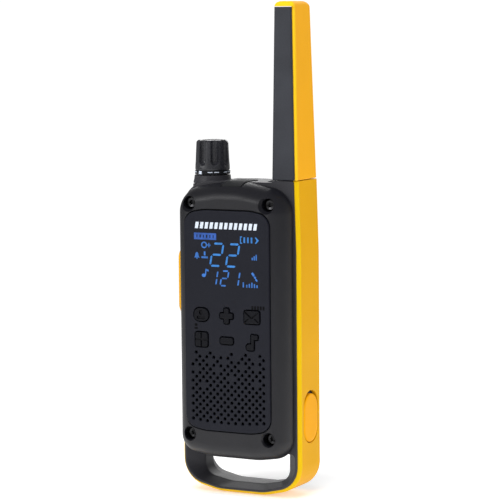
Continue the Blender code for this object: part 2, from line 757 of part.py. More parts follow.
def make_knob(shaft_top):
    profile = (
        (0, KNOB_HIGH), (KNOB_TOP_RADIUS - 1.6, KNOB_HIGH), (KNOB_TOP_RADIUS - 0.5, KNOB_HIGH - 0.5),
        (KNOB_TOP_RADIUS, KNOB_HIGH - 1.6), (KNOB_RADIUS, KNOB_LOW + 0.8), (KNOB_RADIUS, KNOB_LOW),
        (NECK_RADIUS, KNOB_LOW), (NECK_RADIUS, NECK_LOW), (0, NECK_LOW),
    )
    knob = turned("volume_knob", profile, (KNOB_X, KNOB_Y, 0), "housing_black", steps=32)
    centre = Vector((KNOB_X, KNOB_Y))
    for number in range(FLUTES):
        turn = Matrix.Rotation(FLUTE_TURN + 2 * math.pi * number / FLUTES, 2)
        out = centre + turn @ Vector((KNOB_RADIUS + 0.2, 0))
        cut(knob, rod(f"flute_{number}", FLUTE_RADIUS, FLUTE_LOW, 140, out, axis="Z", segments=12))
    bore = SHAFT_RADIUS + 0.1
    return cut(knob, rod("knob_bore", bore, 120, shaft_top + GAP, centre, axis="Z", segments=12))


def make_top_button():
    """The pad follows the housing's rounded top edge at its front."""
    front, back = TOP_BUTTON_Y
    low, high = BODY_TOP - 2.2, BODY_TOP + 0.3
    profile = (
        (front, low), (back, low), (back, high), (HOUSING_BACK, high),
        (front + 3.6, high - 0.2), (front + 1.6, high - 0.8), (front, high - 1.5),
    )
    pad = prism("top_button", profile, *TOP_BUTTON_X, "X", "rubber_black")
    join(pad, box("top_button_stem", (-1.5, 2), (-6.0, -2.0), (118.6, 121.0)))
    box("top_switch", (-3.0, 3.5), (-6.1, -1.9), (114.0, 117.6), "frame_black")
    hang("top_button_slide", (0, -2.5, BODY_TOP), pad)


def make_ptt():
    sections = []
    for depth, inset in ((-24.1, 0.0), (-27.9, 0.0), (-29.1, 0.7), (PTT_OUT, 2.2)):
        sections.append((depth, outline(centred(0, PTT_Z, PTT_WIDTH, PTT_LENGTH, 4.9), inset)))
    button = loft("ptt_button", sections, axis="X", material="body_yellow")
    join(button, box("ptt_stem", (-24.6, -20.9), (-5.8, -4.3), (78.2, 86.4)))
    box("ptt_switch", (-19.7, -15.5), (-9.2, -4.5), (78.0, 86.6), "frame_black")
    hang("ptt_slide", (-HALF_WIDTH, 0, PTT_Z), button)


def make_port_cover():
    low = PORT_Z - PORT_LENGTH / 2
    high = low + PORT_LENGTH - PORT_NOTCH
    shape = rectangle(PORT_Y - PORT_WIDTH / 2, PORT_Y + PORT_WIDTH / 2, low, high, 5.9)
    sections = [(PORT_IN, outline(shape)), (PORT_OUT - 0.6, outline(shape)), (PORT_OUT, outline(shape, 0.6))]
    cover = loft("port_cover", sections, axis="X", material="cover_orange")
    hang("port_cover_hinge", (PORT_OUT, PORT_Y, low), cover)


def make_antenna():
    split_x = TOP_HALF - ANTENNA_SKIN
    split_z = ANTENNA_TOP - 2.0

    def section(z, inset, lip):
        """Corners of the antenna at a height: it narrows evenly, and its back leans forwards."""
        share = (z - SEAM_Z) / (ANTENNA_TOP - SEAM_Z)
        left = ANTENNA_LEFT + (ANTENNA_TOP_LEFT - ANTENNA_LEFT) * share
        right = TOP_HALF + (ANTENNA_TOP_RIGHT - TOP_HALF) * share - lip
        back = ANTENNA_BACK + (ANTENNA_TOP_BACK - ANTENNA_BACK) * share
        corners = rectangle(left + inset, right - inset, FRAME_FRONT + inset, back - inset, 0.9)
        return outline(corners, steps=2)

    def outside(name, material, lip):
        stations = [(SEAM_Z, 0.0), (ANTENNA_TOP - 2.0, 0.0), (ANTENNA_TOP - 0.6, 0.6), (ANTENNA_TOP, 2.0)]
        return loft(name, [(z, section(z, inset, lip)) for z, inset in stations], "Z", material)

    core = outside("antenna_core", "antenna_grey", ANTENNA_LIP)
    cut(core, box("core_side_cut", (split_x - FINE_GAP, 30), (LIP_BACK, 12), (SEAM_Z - 1, ANTENNA_TOP + 5)))
    cut(core, box("core_top_cut", (10, 30), (-12, 12), (split_z - FINE_GAP, ANTENNA_TOP + 5)))
    cut(core, box("core_hollow", (17.8, 22.2), (-4.6, 3.4), (SEAM_Z - 1, 186.0)))
    shell = outside("antenna_shell", "body_yellow", 0.0)
    cut(shell, box("shell_cut", (10, split_x), (-12, 12), (SEAM_Z - 1, split_z)))
    cut(shell, box("shell_front_cut", (10, 30), (-12, BAND_FRONT), (SEAM_Z - 2, split_z - 0.1)))
    points = []
    turns, per_turn = 7, 6
    for step in range(turns * per_turn + 1):
        angle = 2 * math.pi * step / per_turn
        z = 118.0 + step * 62.0 / (turns * per_turn)
        points.append((20.1 + 1.1 * math.cos(angle), 0.4 + 1.1 * math.sin(angle), z))
    wire("antenna_coil", points, 0.35, "copper")


def wire(name, points, radius, material, resolution=0):
    curve = bpy.data.curves.new(name, "CURVE")
    curve.dimensions = "3D"
    curve.bevel_depth = radius * MM
    curve.bevel_resolution = resolution
    curve.use_fill_caps = True
    spline = curve.splines.new("POLY")
    spline.points.add(len(points) - 1)
    for point, place in zip(spline.points, points):
        point.co = (*(Vector(place) * MM), 1.0)
    curve.materials.append(MATERIALS[material])
    obj = bpy.data.objects.new(name, curve)
    RADIO.objects.link(obj)
    return obj


# Battery, rear and clip


def make_battery():
    for number in range(3):
        x = CELL_PITCH * (number - 1)
        high = CELL_LOW + CELL_LENGTH
        name = f"battery_cell_{number + 1}"
        cell = rod(name, CELL_RADIUS, CELL_LOW, high - 1.0, (x, CELL_Y), "Z", 20, "cell_green")
        join(cell, rod(f"cell_tip_{number + 1}", 2.7, high - 2.0, high, (x, CELL_Y), "Z", 12))
    for name, low, high, bump in (
        ("battery_contacts_lower", CELL_LOW - 3.3, CELL_LOW - 2.3, (CELL_LOW - 2.8, CELL_LOW - GAP)),
        ("battery_contacts_upper", 97.0, 98.0, (95.0 + GAP, 97.5)),
    ):
        plate = box(name, (-19.5, 19.5), (0.5, 9.2), (low, high), "nickel")
        for number in range(3):
            centre = (CELL_PITCH * (number - 1), CELL_Y)
            join(plate, rod(f"{name}_spring_{number}", 2.4, *bump, centre, "Z", 10))


def make_battery_door():
    corners = rectangle(-DOOR_HALF, DOOR_HALF, DOOR_LOW, DOOR_HIGH, 3.0)
    sections = (
        (DOOR_INSIDE, outline(corners)),
        (DOOR_BACK - 1.4, outline(corners)),
        (DOOR_BACK - 0.4, outline(corners, 0.7)),
        (DOOR_BACK, outline(corners, 1.8)),
    )
    door = loft("battery_door", sections, material="housing_black")
    cut(door, box("latch_slot", (-7.3, 7.3), (DOOR_BACK - 1.3, 17), (92.7, 104)))
    thick = (DOOR_BACK - 1.0, DOOR_BACK + 0.8)
    latch = box("battery_latch", (-7.0, 7.0), thick, (96.0, DOOR_HIGH - 0.2), "housing_black")
    bevel(latch, 0.4, 1)
    for number in range(3):
        z = 97.4 + 1.6 * number
        cut(latch, box(f"latch_groove_{number}", (-5, 5), (DOOR_BACK + 0.3, 17), (z, z + 0.7)))
    return door, latch


def clip_profile():
    """The clip seen from the side: thumb tab, long arm, and a lip that holds the belt."""
    inner, outer = CLIP_PIVOT_Y + 1.6, CLIP_PIVOT_Y + 3.0
    return (
        (inner, 93.5), (inner, 50.0), (16.4, 44.5), (17.6, 41.0),
        (18.6, 41.2), (18.2, 44.4), (outer, 49.5), (outer, 93.5), (outer - 0.4, 94.0), (inner + 0.3, 94.0),
    )


def make_clip():
    pivot = (CLIP_PIVOT_Y, CLIP_PIVOT_Z)
    base = (DOOR_BACK + GAP, DOOR_BACK + 1.1)
    low, high = CLIP_PIVOT_Z - 1.4, CLIP_PIVOT_Z + 1.4
    bracket = box("clip_bracket", (-6.8, 6.8), base, (78.0, 91.0), "frame_black")
    clip = prism("belt_clip", clip_profile(), -CLIP_HALF, CLIP_HALF, "X", "frame_black")
    for side in (-1, 1):
        name = "left" if side < 0 else "right"
        across = sorted((side * 5.0, side * 6.8))
        join(bracket, box(f"clip_ear_{name}", across, (DOOR_BACK + 0.8, CLIP_PIVOT_Y), (low, high)))
        join(bracket, rod(f"clip_ear_tip_{name}", 1.38, *across, pivot, "X"))
        across = sorted((side * 2.9, side * 4.6))
        lug = (CLIP_PIVOT_Y, CLIP_PIVOT_Y + 2.0)
        join(clip, box(f"clip_lug_{name}", across, lug, (low - 0.3, high + 0.3)))
        join(clip, rod(f"clip_lug_tip_{name}", 1.72, *across, pivot, "X"))
    hole = PIN_RADIUS + FINE_GAP
    cut(bracket, rod("bracket_pin_hole", hole, -9, 9, pivot, "X", 12))
    cut(clip, rod("clip_pin_hole", hole, -6, 6, pivot, "X", 12))
    rod("clip_pin", PIN_RADIUS, -6.6, 6.6, pivot, "X", 12, "spring_steel")
    points = []
    turns, per_turn = 3, 8
    for step in range(turns * per_turn + 1):
        angle = 2 * math.pi * step / per_turn
        y = CLIP_PIVOT_Y + SPRING_RADIUS * math.cos(angle)
        z = CLIP_PIVOT_Z + SPRING_RADIUS * math.sin(angle)
        points.append((-2.0 + 4.0 * step / (turns * per_turn), y, z))
    wire("clip_spring", points, 0.18, "spring_steel")
    return bracket, clip


def make_rear():
    make_rear_housing()
    make_battery()
    door, latch = make_battery_door()
    bracket, clip = make_clip()
    pin = bpy.data.objects["clip_pin"]
    spring = bpy.data.objects["clip_spring"]
    hinge = hang("battery_door_hinge", (0, DOOR_BACK, DOOR_LOW), door, bracket, pin, spring)
    hang("battery_latch_slide", (0, DOOR_BACK, 99.0), latch, parent=hinge)
    hang("belt_clip_hinge", (0, CLIP_PIVOT_Y, CLIP_PIVOT_Z), clip, parent=hinge)


def main():
    make_front_housing()
    make_front_panel()
    for name, (x, z, _) in KEYS.items():
        hang(f"{name}_slide", (x, KEY_FRONT, z), make_key(name))
    for number, (x, z) in enumerate(SCREWS, 1):
        make_front_screw(number, x, z)
    make_side_band()
    make_mid_frame()
    make_display()
    make_keypad_sheet()
    make_main_board()
    make_speaker()
    make_sockets()
    make_volume_control()
    make_top_button()
    make_ptt()
    make_port_cover()
    make_antenna()
    make_rear()


main()
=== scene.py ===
"""Looks of a handheld two-way radio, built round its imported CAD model.

The frame's own boxes give the places and the main sizes. Sizes in the functions below are
millimetres; the mesh helpers turn them into metres.
"""

import math

import bmesh
import bpy
from mathutils import Matrix, Vector


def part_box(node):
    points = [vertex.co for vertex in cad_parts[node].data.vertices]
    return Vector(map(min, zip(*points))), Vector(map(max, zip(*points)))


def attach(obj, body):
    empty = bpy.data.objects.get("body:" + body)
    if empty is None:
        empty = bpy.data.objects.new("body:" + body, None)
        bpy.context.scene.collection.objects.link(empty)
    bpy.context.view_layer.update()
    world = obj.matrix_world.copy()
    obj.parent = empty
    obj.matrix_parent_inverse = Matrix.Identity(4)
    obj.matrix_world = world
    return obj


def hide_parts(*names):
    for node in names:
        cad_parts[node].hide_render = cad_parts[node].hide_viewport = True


MM = 0.001
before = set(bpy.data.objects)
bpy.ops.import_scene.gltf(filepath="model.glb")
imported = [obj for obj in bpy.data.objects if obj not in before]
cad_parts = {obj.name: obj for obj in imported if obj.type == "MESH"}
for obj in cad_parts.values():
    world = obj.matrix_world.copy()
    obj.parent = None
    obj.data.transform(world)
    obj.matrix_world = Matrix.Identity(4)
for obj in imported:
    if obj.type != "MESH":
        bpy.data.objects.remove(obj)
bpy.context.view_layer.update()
ROOT = "radio_body"


def limits(node):
    """Lowest and highest corner of a CAD node, in millimetres."""
    low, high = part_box(node)
    return low / MM, high / MM


# Driving dimensions, read from the frame

BAND_LOW, BAND_HIGH = limits("side_band")
HALF_WIDTH = BAND_HIGH.x
FRAME_LOW, FRAME_HIGH = limits("mid_frame")
HOUSING_LOW, HOUSING_HIGH = limits("front_housing")
BODY_TOP = HOUSING_HIGH.z
HOUSING_HALF = HOUSING_HIGH.x
HOUSING_FRONT = HOUSING_LOW.y
HOUSING_BACK = HOUSING_HIGH.y
PANEL_MIN, PANEL_MAX = limits("front_panel")
PANEL_FRONT = PANEL_MIN.y
ANTENNA_MIN, ANTENNA_MAX = limits("antenna_shell")
SEAM_Z = ANTENNA_MIN.z
TOP_HALF = ANTENNA_MAX.x
CORE_MIN, CORE_MAX = limits("antenna_core")
KNOB_MIN, KNOB_MAX = limits("volume_knob")
KNOB_X = (KNOB_MIN.x + KNOB_MAX.x) / 2
KNOB_Y = (KNOB_MIN.y + KNOB_MAX.y) / 2
KNOB_PLACE = (KNOB_X, KNOB_Y)

FOOT_HALF = 10.0
FOOT_RISE = 3.7
TAPER_Z = 95.0
TOP_FLAT = 5.0
TOP_DROP = 3.2
LOOP_CORNER = 11.0
LOOP_TOP = 17.5
TOP_CORNER = 10.3
HOUSING_RISE = 2.2
BAND_THICK = 1.5
FRAME_INSET = BAND_THICK + 0.2
LIP_INSET = 1.25


# Outlines


def angles(first, last, steps):
    """Evenly spaced angles with both ends: given in degrees, returned in radians."""
    return [math.radians(first + (last - first) * step / steps) for step in range(steps + 1)]


def circle(u, v, radius, count, squash=1.0):
    turns = angles(0, 360, count)[:-1]
    return [(u + radius * math.cos(turn), v + squash * radius * math.sin(turn)) for turn in turns]


def corner_frame(corners, i):
    """The directions into and out of a corner, and the sum of their inward normals."""
    here = Vector(corners[i][:2])
    before = (here - Vector(corners[i - 1][:2])).normalized()
    after = (Vector(corners[(i + 1) % len(corners)][:2]) - here).normalized()
    return here, before, after, Vector((-before.y - after.y, before.x + after.x))


def outline(corners, inset=0.0, steps=12):
    """Points of a convex anticlockwise outline, given as (u, v, corner radius)."""
    moved = []
    for i, (_, _, radius) in enumerate(corners):
        here, before, after, inward = corner_frame(corners, i)
        point = here + inward * inset / (1 + before.dot(after))
        moved.append((point.x, point.y, max(radius - inset, 0.08)))
    points = []
    for i, (_, _, radius) in enumerate(moved):
        here, before, after, inward = corner_frame(moved, i)
        centre = here + inward * radius / (1 + before.dot(after))
        turn = math.atan2(before.cross(after), before.dot(after))
        arm = Vector((before.y, -before.x)) * radius
        for step in range(steps + 1):
            points.append(centre + Matrix.Rotation(turn * step / steps, 2) @ arm)
    return points


def rectangle(left, right, low, high, radius=0.1):
    return [(left, low, radius), (right, low, radius), (right, high, radius), (left, high, radius)]


def centred(u, v, width, height, radius):
    return rectangle(u - width / 2, u + width / 2, v - height / 2, v + height / 2, radius)


def symmetric(right):
    """A whole outline from the corners of its right half, listed upwards."""
    left = [(-x, z, radius) for x, z, radius in right]
    return left[:1] + right + left[:0:-1]


def housing_corners(half, low, low_corner=8.0):
    """A housing's front outline: its bottom bows down and its top bows up in the middle."""
    return symmetric([
        (FOOT_HALF, low, 25.0),
        (half, low + HOUSING_RISE, low_corner),
        (half, BODY_TOP - TOP_DROP, TOP_CORNER),
        (TOP_FLAT, BODY_TOP, 30.0),
    ])


def loop_corners(half, low, rise, corner, flat):
    return symmetric([(flat, low, 20.0), (half, low + rise, corner), (half, LOOP_TOP, 2.0)])


BAND_TOP = FRAME_HIGH.z + FRAME_INSET
BAND_OUTLINE = [
    (-FOOT_HALF, 0.0, 25.0),
    (FOOT_HALF, 0.0, 25.0),
    (HALF_WIDTH, FOOT_RISE, LOOP_CORNER),
    (HALF_WIDTH, TAPER_Z, 80.0),
    (TOP_HALF, BAND_TOP, 2.5),
    (-TOP_FLAT, BAND_TOP, 30.0),
    (-TOP_HALF, BAND_TOP - TOP_DROP, TOP_CORNER + FRAME_INSET),
    (-HALF_WIDTH, TAPER_Z, 80.0),
    (-HALF_WIDTH, FOOT_RISE, LOOP_CORNER),
]
HOUSING_OUTLINE = housing_corners(HOUSING_HALF, HOUSING_LOW.z)
HOLLOW_OUTLINE = housing_corners(HOUSING_HALF, 18.2)


def panel_corners():
    """The panel's outline, which bows at its top and bottom as the housing's does."""
    half, low, high, drop = PANEL_MAX.x, PANEL_MIN.z, PANEL_MAX.z, 1.5
    return symmetric([
        (FOOT_HALF, low, 20.0),
        (half, low + drop, 5.5),
        (half, high - drop, 5.5),
        (FOOT_HALF, high, 20.0),
    ])


PANEL_OUTLINE = panel_corners()


# Meshes


def placed(u, v, w, axis):
    """A point of an outline at depth w along an axis, in metres."""
    along = {"X": (w, u, v), "Y": (u, w, v), "Z": (u, v, w)}
    return Vector(along[axis]) * MM


def as_object(name, bm):
    bmesh.ops.recalc_face_normals(bm, faces=bm.faces)
    mesh = bpy.data.meshes.new(name)
    bm.to_mesh(mesh)
    bm.free()
    obj = bpy.data.objects.new(name, mesh)
    bpy.context.scene.collection.objects.link(obj)
    return obj


def skin(bm, sections, axis="Y"):
    """Add a closed solid through outlines of equal point count, given as (depth, points)."""
    rings = [[bm.verts.new(placed(u, v, w, axis)) for u, v in points] for w, points in sections]
    for ring, following in zip(rings, rings[1:]):
        for i in range(len(ring)):
            bm.faces.new((ring[i - 1], ring[i], following[i], following[i - 1]))
    bm.faces.new(rings[0])
    bm.faces.new(rings[-1])


def loft(name, sections, axis="Y"):
    bm = bmesh.new()
    skin(bm, sections, axis)
    return as_object(name, bm)


def tapered(name, corners, stations, axis="Y", steps=12):
    """A solid through one outline that is inset differently at each (depth, inset) station."""
    return loft(name, [(depth, outline(corners, inset, steps)) for depth, inset in stations], axis)


def quarter(start, reach, inset, rounds, first=0.0):
    """Stations (depth, inset) along a quarter of an ellipse, from a side towards an end face."""
    turns = angles(0, 90, rounds)
    return [(start + reach * math.sin(turn), first + inset * (1 - math.cos(turn))) for turn in turns]


def slab(name, corners, low, high, axis="Y", edge=0.0, steps=12, rounds=5):
    """A plate of an outline, with its edge at the low end rounded if an edge radius is given."""
    stations = quarter(low + edge, -edge, edge, rounds)[::-1] if edge else [(low, 0.0)]
    return tapered(name, corners, [*stations, (high, 0.0)], axis, steps)


def block(name, x, y, z, edge=0.0, segments=3):
    bm = bmesh.new()
    size = Vector((x[1] - x[0], y[1] - y[0], z[1] - z[0])) * MM
    middle = Vector((x[0] + x[1], y[0] + y[1], z[0] + z[1])) * MM / 2
    stretch = Matrix.Diagonal((*size, 1))
    bmesh.ops.create_cube(bm, size=1.0, matrix=Matrix.Translation(middle) @ stretch)
    if edge:
        rounding = {"offset": edge * MM, "segments": segments, "affect": "EDGES", "profile": 0.5}
        bmesh.ops.bevel(bm, geom=bm.edges[:], **rounding)
    return as_object(name, bm)


TURN_TO = {
    "X": Matrix.Rotation(math.radians(90), 4, "Y"),
    "Y": Matrix.Rotation(math.radians(-90), 4, "X"),
    "-Y": Matrix.Rotation(math.radians(90), 4, "X"),
    "Z": Matrix.Identity(4),
}


def rod(name, radius, low, high, centre, axis="Y", segments=32, end_radius=None):
    """A cylinder or cone between two depths along an axis; the centre is (u, v) across it."""
    bm = bmesh.new()
    bmesh.ops.create_cone(
        bm,
        cap_ends=True,
        segments=segments,
        radius1=radius * MM,
        radius2=(radius if end_radius is None else end_radius) * MM,
        depth=(high - low) * MM,
        matrix=Matrix.Translation(placed(*centre, (low + high) / 2, axis)) @ TURN_TO[axis],
    )
    return as_object(name, bm)


def lathe(name, profile, centre, axis="Z", steps=64):
    """Turn a profile of (radius, height), listed from its top down its outer side."""
    bm = bmesh.new()
    rings = []
    for radius, height in profile:
        count = 1 if radius == 0 else steps
        ring = []
        for step in range(count):
            angle = 2 * math.pi * step / steps
            point = Vector((radius * math.cos(angle), radius * math.sin(angle), height))
            ring.append(bm.verts.new(point * MM))
        rings.append(ring)
    pairs = list(zip(rings, rings[1:]))
    if profile[0][0] > 0:
        pairs.append((rings[-1], rings[0]))
    for first, second in pairs:
        for i in range(steps):
            j = (i + 1) % steps
            left = (first[i % len(first)], second[i % len(second)])
            right = (second[j % len(second)], first[j % len(first)])
            bm.faces.new(list(dict.fromkeys(left + right)))
    place = Matrix.Translation(Vector(centre) * MM)
    bmesh.ops.transform(bm, verts=bm.verts, matrix=place @ TURN_TO[axis])
    return as_object(name, bm)


def rounded_profile(points, radius):
    """Round the inner corners of an open profile of (radius, height) points."""
    made = [points[0]]
    for before, here, after in zip(points, points[1:], points[2:]):
        a, b, c = Vector(before), Vector(here), Vector(after)
        reach = min(radius, (a - b).length * 0.45, (c - b).length * 0.45)
        start = b + (a - b).normalized() * reach
        end = b + (c - b).normalized() * reach
        for t in (0.0, 0.25, 0.5, 0.75, 1.0):
            point = start * (1 - t) ** 2 + b * 2 * t * (1 - t) + end * t * t
            made.append((point.x, point.y))
    made.append(points[-1])
    return made


def solve(obj, others, operation):
    """Apply a Boolean with each of the others in turn, if there are any, and remove them."""
    for other in others:
        modifier = obj.modifiers.new("boolean", "BOOLEAN")
        modifier.operation = operation
        modifier.object = other
    graph = bpy.context.evaluated_depsgraph_get()
    mesh = bpy.data.meshes.new_from_object(obj.evaluated_get(graph))
    obj.modifiers.clear()
    obj.data = mesh
    for other in others:
        bpy.data.objects.remove(other)
    return obj


def cut(obj, *others):
    return solve(obj, others, "DIFFERENCE")


def join(obj, *others):
    return solve(obj, others, "UNION")


def merged(name, objects):
    """One object that holds all the given meshes, for cutters that don't touch each other."""
    bm = bmesh.new()
    for obj in objects:
        bm.from_mesh(obj.data)
        bpy.data.objects.remove(obj)
    return as_object(name, bm)


SHARP_EDGE = 32  # degrees


def smooth(obj):
    mesh = obj.data
    mesh.shade_smooth()
    mesh.set_sharp_from_angle(angle=math.radians(SHARP_EDGE))
    normals = obj.modifiers.new("weighted normals", "WEIGHTED_NORMAL")
    normals.keep_sharp = True
    return obj


def fit(obj, material, body, *nodes):
    """Finish a piece: shade it, paint it, and let it ride on a body in place of CAD nodes."""
    smooth(obj)
    obj.data.materials.clear()
    obj.data.materials.append(material)
    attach(obj, body)
    if nodes:
        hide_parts(*nodes)
    return obj


# Materials


class Paint:
    """A procedural material, with short ways to add its nodes."""

    def __init__(self, name, roughness=0.5, metallic=0.0, shine=0.18):
        self.material = bpy.data.materials.new(name)
        self.material.use_nodes = True
        self.tree = self.material.node_tree
        self.shader = self.tree.nodes["Principled BSDF"]
        self.shader.inputs["Roughness"].default_value = roughness
        self.shader.inputs["Metallic"].default_value = metallic
        self.shader.inputs["Specular IOR Level"].default_value = shine
        self.place = self.add("ShaderNodeTexCoord").outputs["Object"]

    def add(self, kind, **settings):
        node = self.tree.nodes.new(kind)
        for key, value in settings.items():
            if hasattr(node, key):
                setattr(node, key, value)
            else:
                node.inputs[key.replace("_", " ").title()].default_value = value
        return node

    def link(self, output, node, socket):
        self.tree.links.new(output, node.inputs[socket])

    def stretched(self, scale):
        node = self.add("ShaderNodeMapping")
        node.inputs["Scale"].default_value = scale
        self.link(self.place, node, "Vector")
        return node.outputs["Vector"]

    def noise(self, size, detail=2.0, vector=None):
        """A noise of a given grain size in millimetres."""
        node = self.add("ShaderNodeTexNoise", scale=1 / (size * MM), detail=detail)
        self.link(vector or self.place, node, "Vector")
        return node.outputs["Fac"]

    def cells(self, size):
        node = self.add("ShaderNodeTexVoronoi", scale=1 / (size * MM))
        self.link(self.place, node, "Vector")
        return node.outputs["Distance"]

    def ramp(self, factor, *stops):
        """A colour ramp of (position, colour) stops."""
        node = self.add("ShaderNodeValToRGB")
        elements = node.color_ramp.elements
        for (position, colour), element in zip(stops, elements):
            element.position = position
            element.color = (*colour, 1.0)
        for position, colour in stops[len(elements):]:
            elements.new(position).color = (*colour, 1.0)
        self.link(factor, node, "Fac")
        return node.outputs["Color"]

    def span(self, factor, low, high, to_low, to_high):
        """Map one range of values onto another, held at both ends."""
        node = self.add("ShaderNodeMapRange")
        sockets = ("From Min", "From Max", "To Min", "To Max")
        for socket, value in zip(sockets, (low, high, to_low, to_high)):
            node.inputs[socket].default_value = value
        self.link(factor, node, "Value")
        return node.outputs["Result"]

    def mix(self, factor, first, second):
        """Blend two colours, each either a colour or another node's output."""
        node = self.add("ShaderNodeMix", data_type="RGBA")
        self.tree.links.new(factor, node.inputs[0])
        for socket, value in ((6, first), (7, second)):
            if isinstance(value, tuple):
                node.inputs[socket].default_value = (*value, 1.0)
            else:
                self.tree.links.new(value, node.inputs[socket])
        return node.outputs[2]

    def coordinate(self, axis):
        """The object coordinate along an axis, in millimetres."""
        split = self.add("ShaderNodeSeparateXYZ")
        self.link(self.place, split, "Vector")
        scaled = self.add("ShaderNodeMath", operation="DIVIDE")
        self.link(split.outputs[axis], scaled, 0)
        scaled.inputs[1].default_value = MM
        return scaled.outputs[0]

    def colour(self, output):
        self.link(output, self.shader, "Base Color")

    def roughness(self, output):
        self.link(output, self.shader, "Roughness")

    def bump(self, output, height):
        """Raise the surface by up to a height in millimetres."""
        node = self.add("ShaderNodeBump", strength=1.0, distance=height * MM)
        self.link(output, node, "Height")
        self.link(node.outputs["Normal"], self.shader, "Normal")


def dimmed(colour, factor):
    return tuple(channel * factor for channel in colour)


def plastic(name, colour, roughness, grain=0.35, height=0.012, vary=0.16, spread=0.08, shine=0.28):
    """A moulded plastic with a fine even texture and slight changes of tone."""
    paint = Paint(name, shine=shine)
    fine = paint.noise(grain, 3.0)
    broad = paint.noise(14.0, 2.0)
    tone = paint.ramp(broad, (0.3, dimmed(colour, 1 - vary)), (0.7, dimmed(colour, 1 + vary)))
    speckled = paint.mix(paint.span(fine, 0.4, 0.75, 0.0, 0.35), tone, dimmed(colour, 1.7))
    paint.colour(speckled)
    paint.roughness(paint.span(fine, 0.3, 0.7, roughness - spread, roughness + spread))
    paint.bump(fine, height)
    return paint.material


def metal(name, colour, roughness, stretch=(1.0, 1.0, 12.0)):
    paint = Paint(name, metallic=1.0)
    lines = paint.noise(1.2, 3.0, paint.stretched(stretch))
    paint.colour(paint.ramp(lines, (0.3, dimmed(colour, 0.85)), (0.7, dimmed(colour, 1.1))))
    paint.roughness(paint.span(lines, 0.3, 0.7, roughness * 0.75, roughness * 1.3))
    paint.bump(lines, 0.004)
    return paint.material


def glowing(name, colour):
    """A lit display element, slightly uneven as light from behind is."""
    paint = Paint(name, roughness=0.4)
    uneven = paint.noise(1.6, 1.0)
    light = paint.ramp(uneven, (0.3, dimmed(colour, 0.7)), (0.7, colour))
    paint.colour(paint.ramp(uneven, (0.3, dimmed(colour, 0.1)), (0.7, dimmed(colour, 0.2))))
    paint.link(light, paint.shader, "Emission Color")
    paint.shader.inputs["Emission Strength"].default_value = 1.0
    return paint.material


HOUSING = plastic("housing_black", (0.0062, 0.0062, 0.0088), 0.44, grain=0.42, height=0.035, shine=0.4)
REAR = plastic("rear_black", (0.0165, 0.0165, 0.0205), 0.55, grain=0.5, height=0.03)
FINE = {"grain": 0.3, "vary": 0.08}
PANEL = plastic("panel_black", (0.0095, 0.0102, 0.0155), 0.42, height=0.010, shine=0.14, **FINE)
FRAME = plastic("frame_black", (0.031, 0.0305, 0.0360), 0.48, grain=0.45, height=0.018)
KNOB = plastic("knob_black", (0.0185, 0.019, 0.0235), 0.32, grain=0.4, height=0.012, shine=0.75)
GLOSS = plastic("gloss_black", (0.012, 0.0125, 0.015), 0.18, grain=0.6, height=0.003, spread=0.03)
KEY = plastic("key_black", (0.0038, 0.0040, 0.0062), 0.42, height=0.006, shine=0.13, **FINE)
RUBBER = plastic("rubber_black", (0.013, 0.0135, 0.015), 0.72, grain=0.3, height=0.012)
GREY = plastic("antenna_grey", (0.030, 0.0320, 0.0395), 0.55, grain=0.5, height=0.03)
CAPTION = plastic("caption_black", (0.004, 0.004, 0.0045), 0.7, grain=0.6, height=0.004, shine=0.04)
YELLOW_TONE = (0.765, 0.385, 0.004)
ORANGE_TONE = (0.895, 0.395, 0.004)
ANTENNA_TONE = (0.93, 0.438, 0.013)


def satin_yellow(name, colour, grain=0.6, height=0.004, edge=None):
    """The moulded yellow: finely textured, and more of a lemon tone in front of a given depth, which is a
    painted highlight on the rounded front edge.
    """
    paint = Paint(name, shine=0.08)
    fine = paint.noise(grain, 2.0)
    broad = paint.noise(22.0, 1.5)
    tone = paint.ramp(broad, (0.3, dimmed(colour, 0.965)), (0.7, dimmed(colour, 1.02)))
    # Painted highlight: in front of the given depth the yellow turns lighter and more lemon, standing in
    # for light on the rounded front edge.
    if edge is not None:
        front = paint.span(paint.coordinate("Y"), edge - 0.15, edge + 0.15, 1.0, 0.0)
        tone = paint.mix(front, tone, (colour[0] * 1.05, colour[1] * 1.32, colour[2]))
    paint.colour(tone)
    paint.roughness(paint.span(fine, 0.3, 0.7, 0.40, 0.52))
    paint.bump(fine, height)
    return paint.material


# Both yellows carry the painted highlight along their front edge.
YELLOW = satin_yellow("body_yellow", YELLOW_TONE, edge=BAND_LOW.y + 1.6)
ANTENNA_YELLOW = satin_yellow("antenna_yellow", ANTENNA_TONE, edge=BAND_LOW.y + 1.0)
ORANGE = satin_yellow("cover_orange", ORANGE_TONE, grain=0.35, height=0.008)

# Painted shade: the screw metal is darkened nearly to black, so that the heads read dark at the bottom of
# their deep recesses.
SCREW = metal("screw_dark_metal_painted_shade", (0.034, 0.034, 0.036), 0.3, (1, 1, 1))
SPRING = metal("spring_steel", (0.56, 0.56, 0.57), 0.28)
NICKEL = metal("nickel", (0.66, 0.64, 0.58), 0.25, (1, 8, 1))
COPPER = metal("copper", (0.78, 0.33, 0.17), 0.3)


def board_green():
    paint = Paint("board_green", roughness=0.4)
    tracks = paint.add("ShaderNodeTexBrick", scale=1 / (9.0 * MM), mortar_size=0.035)
    paint.link(paint.place, tracks, "Vector")
    fleck = paint.span(paint.noise(2.5, 3.0), 0.45, 0.6, 0.0, 0.5)
    laid = paint.mix(tracks.outputs["Fac"], (0.010, 0.11, 0.05), (0.03, 0.2, 0.09))
    paint.colour(paint.mix(fleck, laid, (0.006, 0.07, 0.035)))
    paint.bump(tracks.outputs["Fac"], 0.02)
    return paint.material


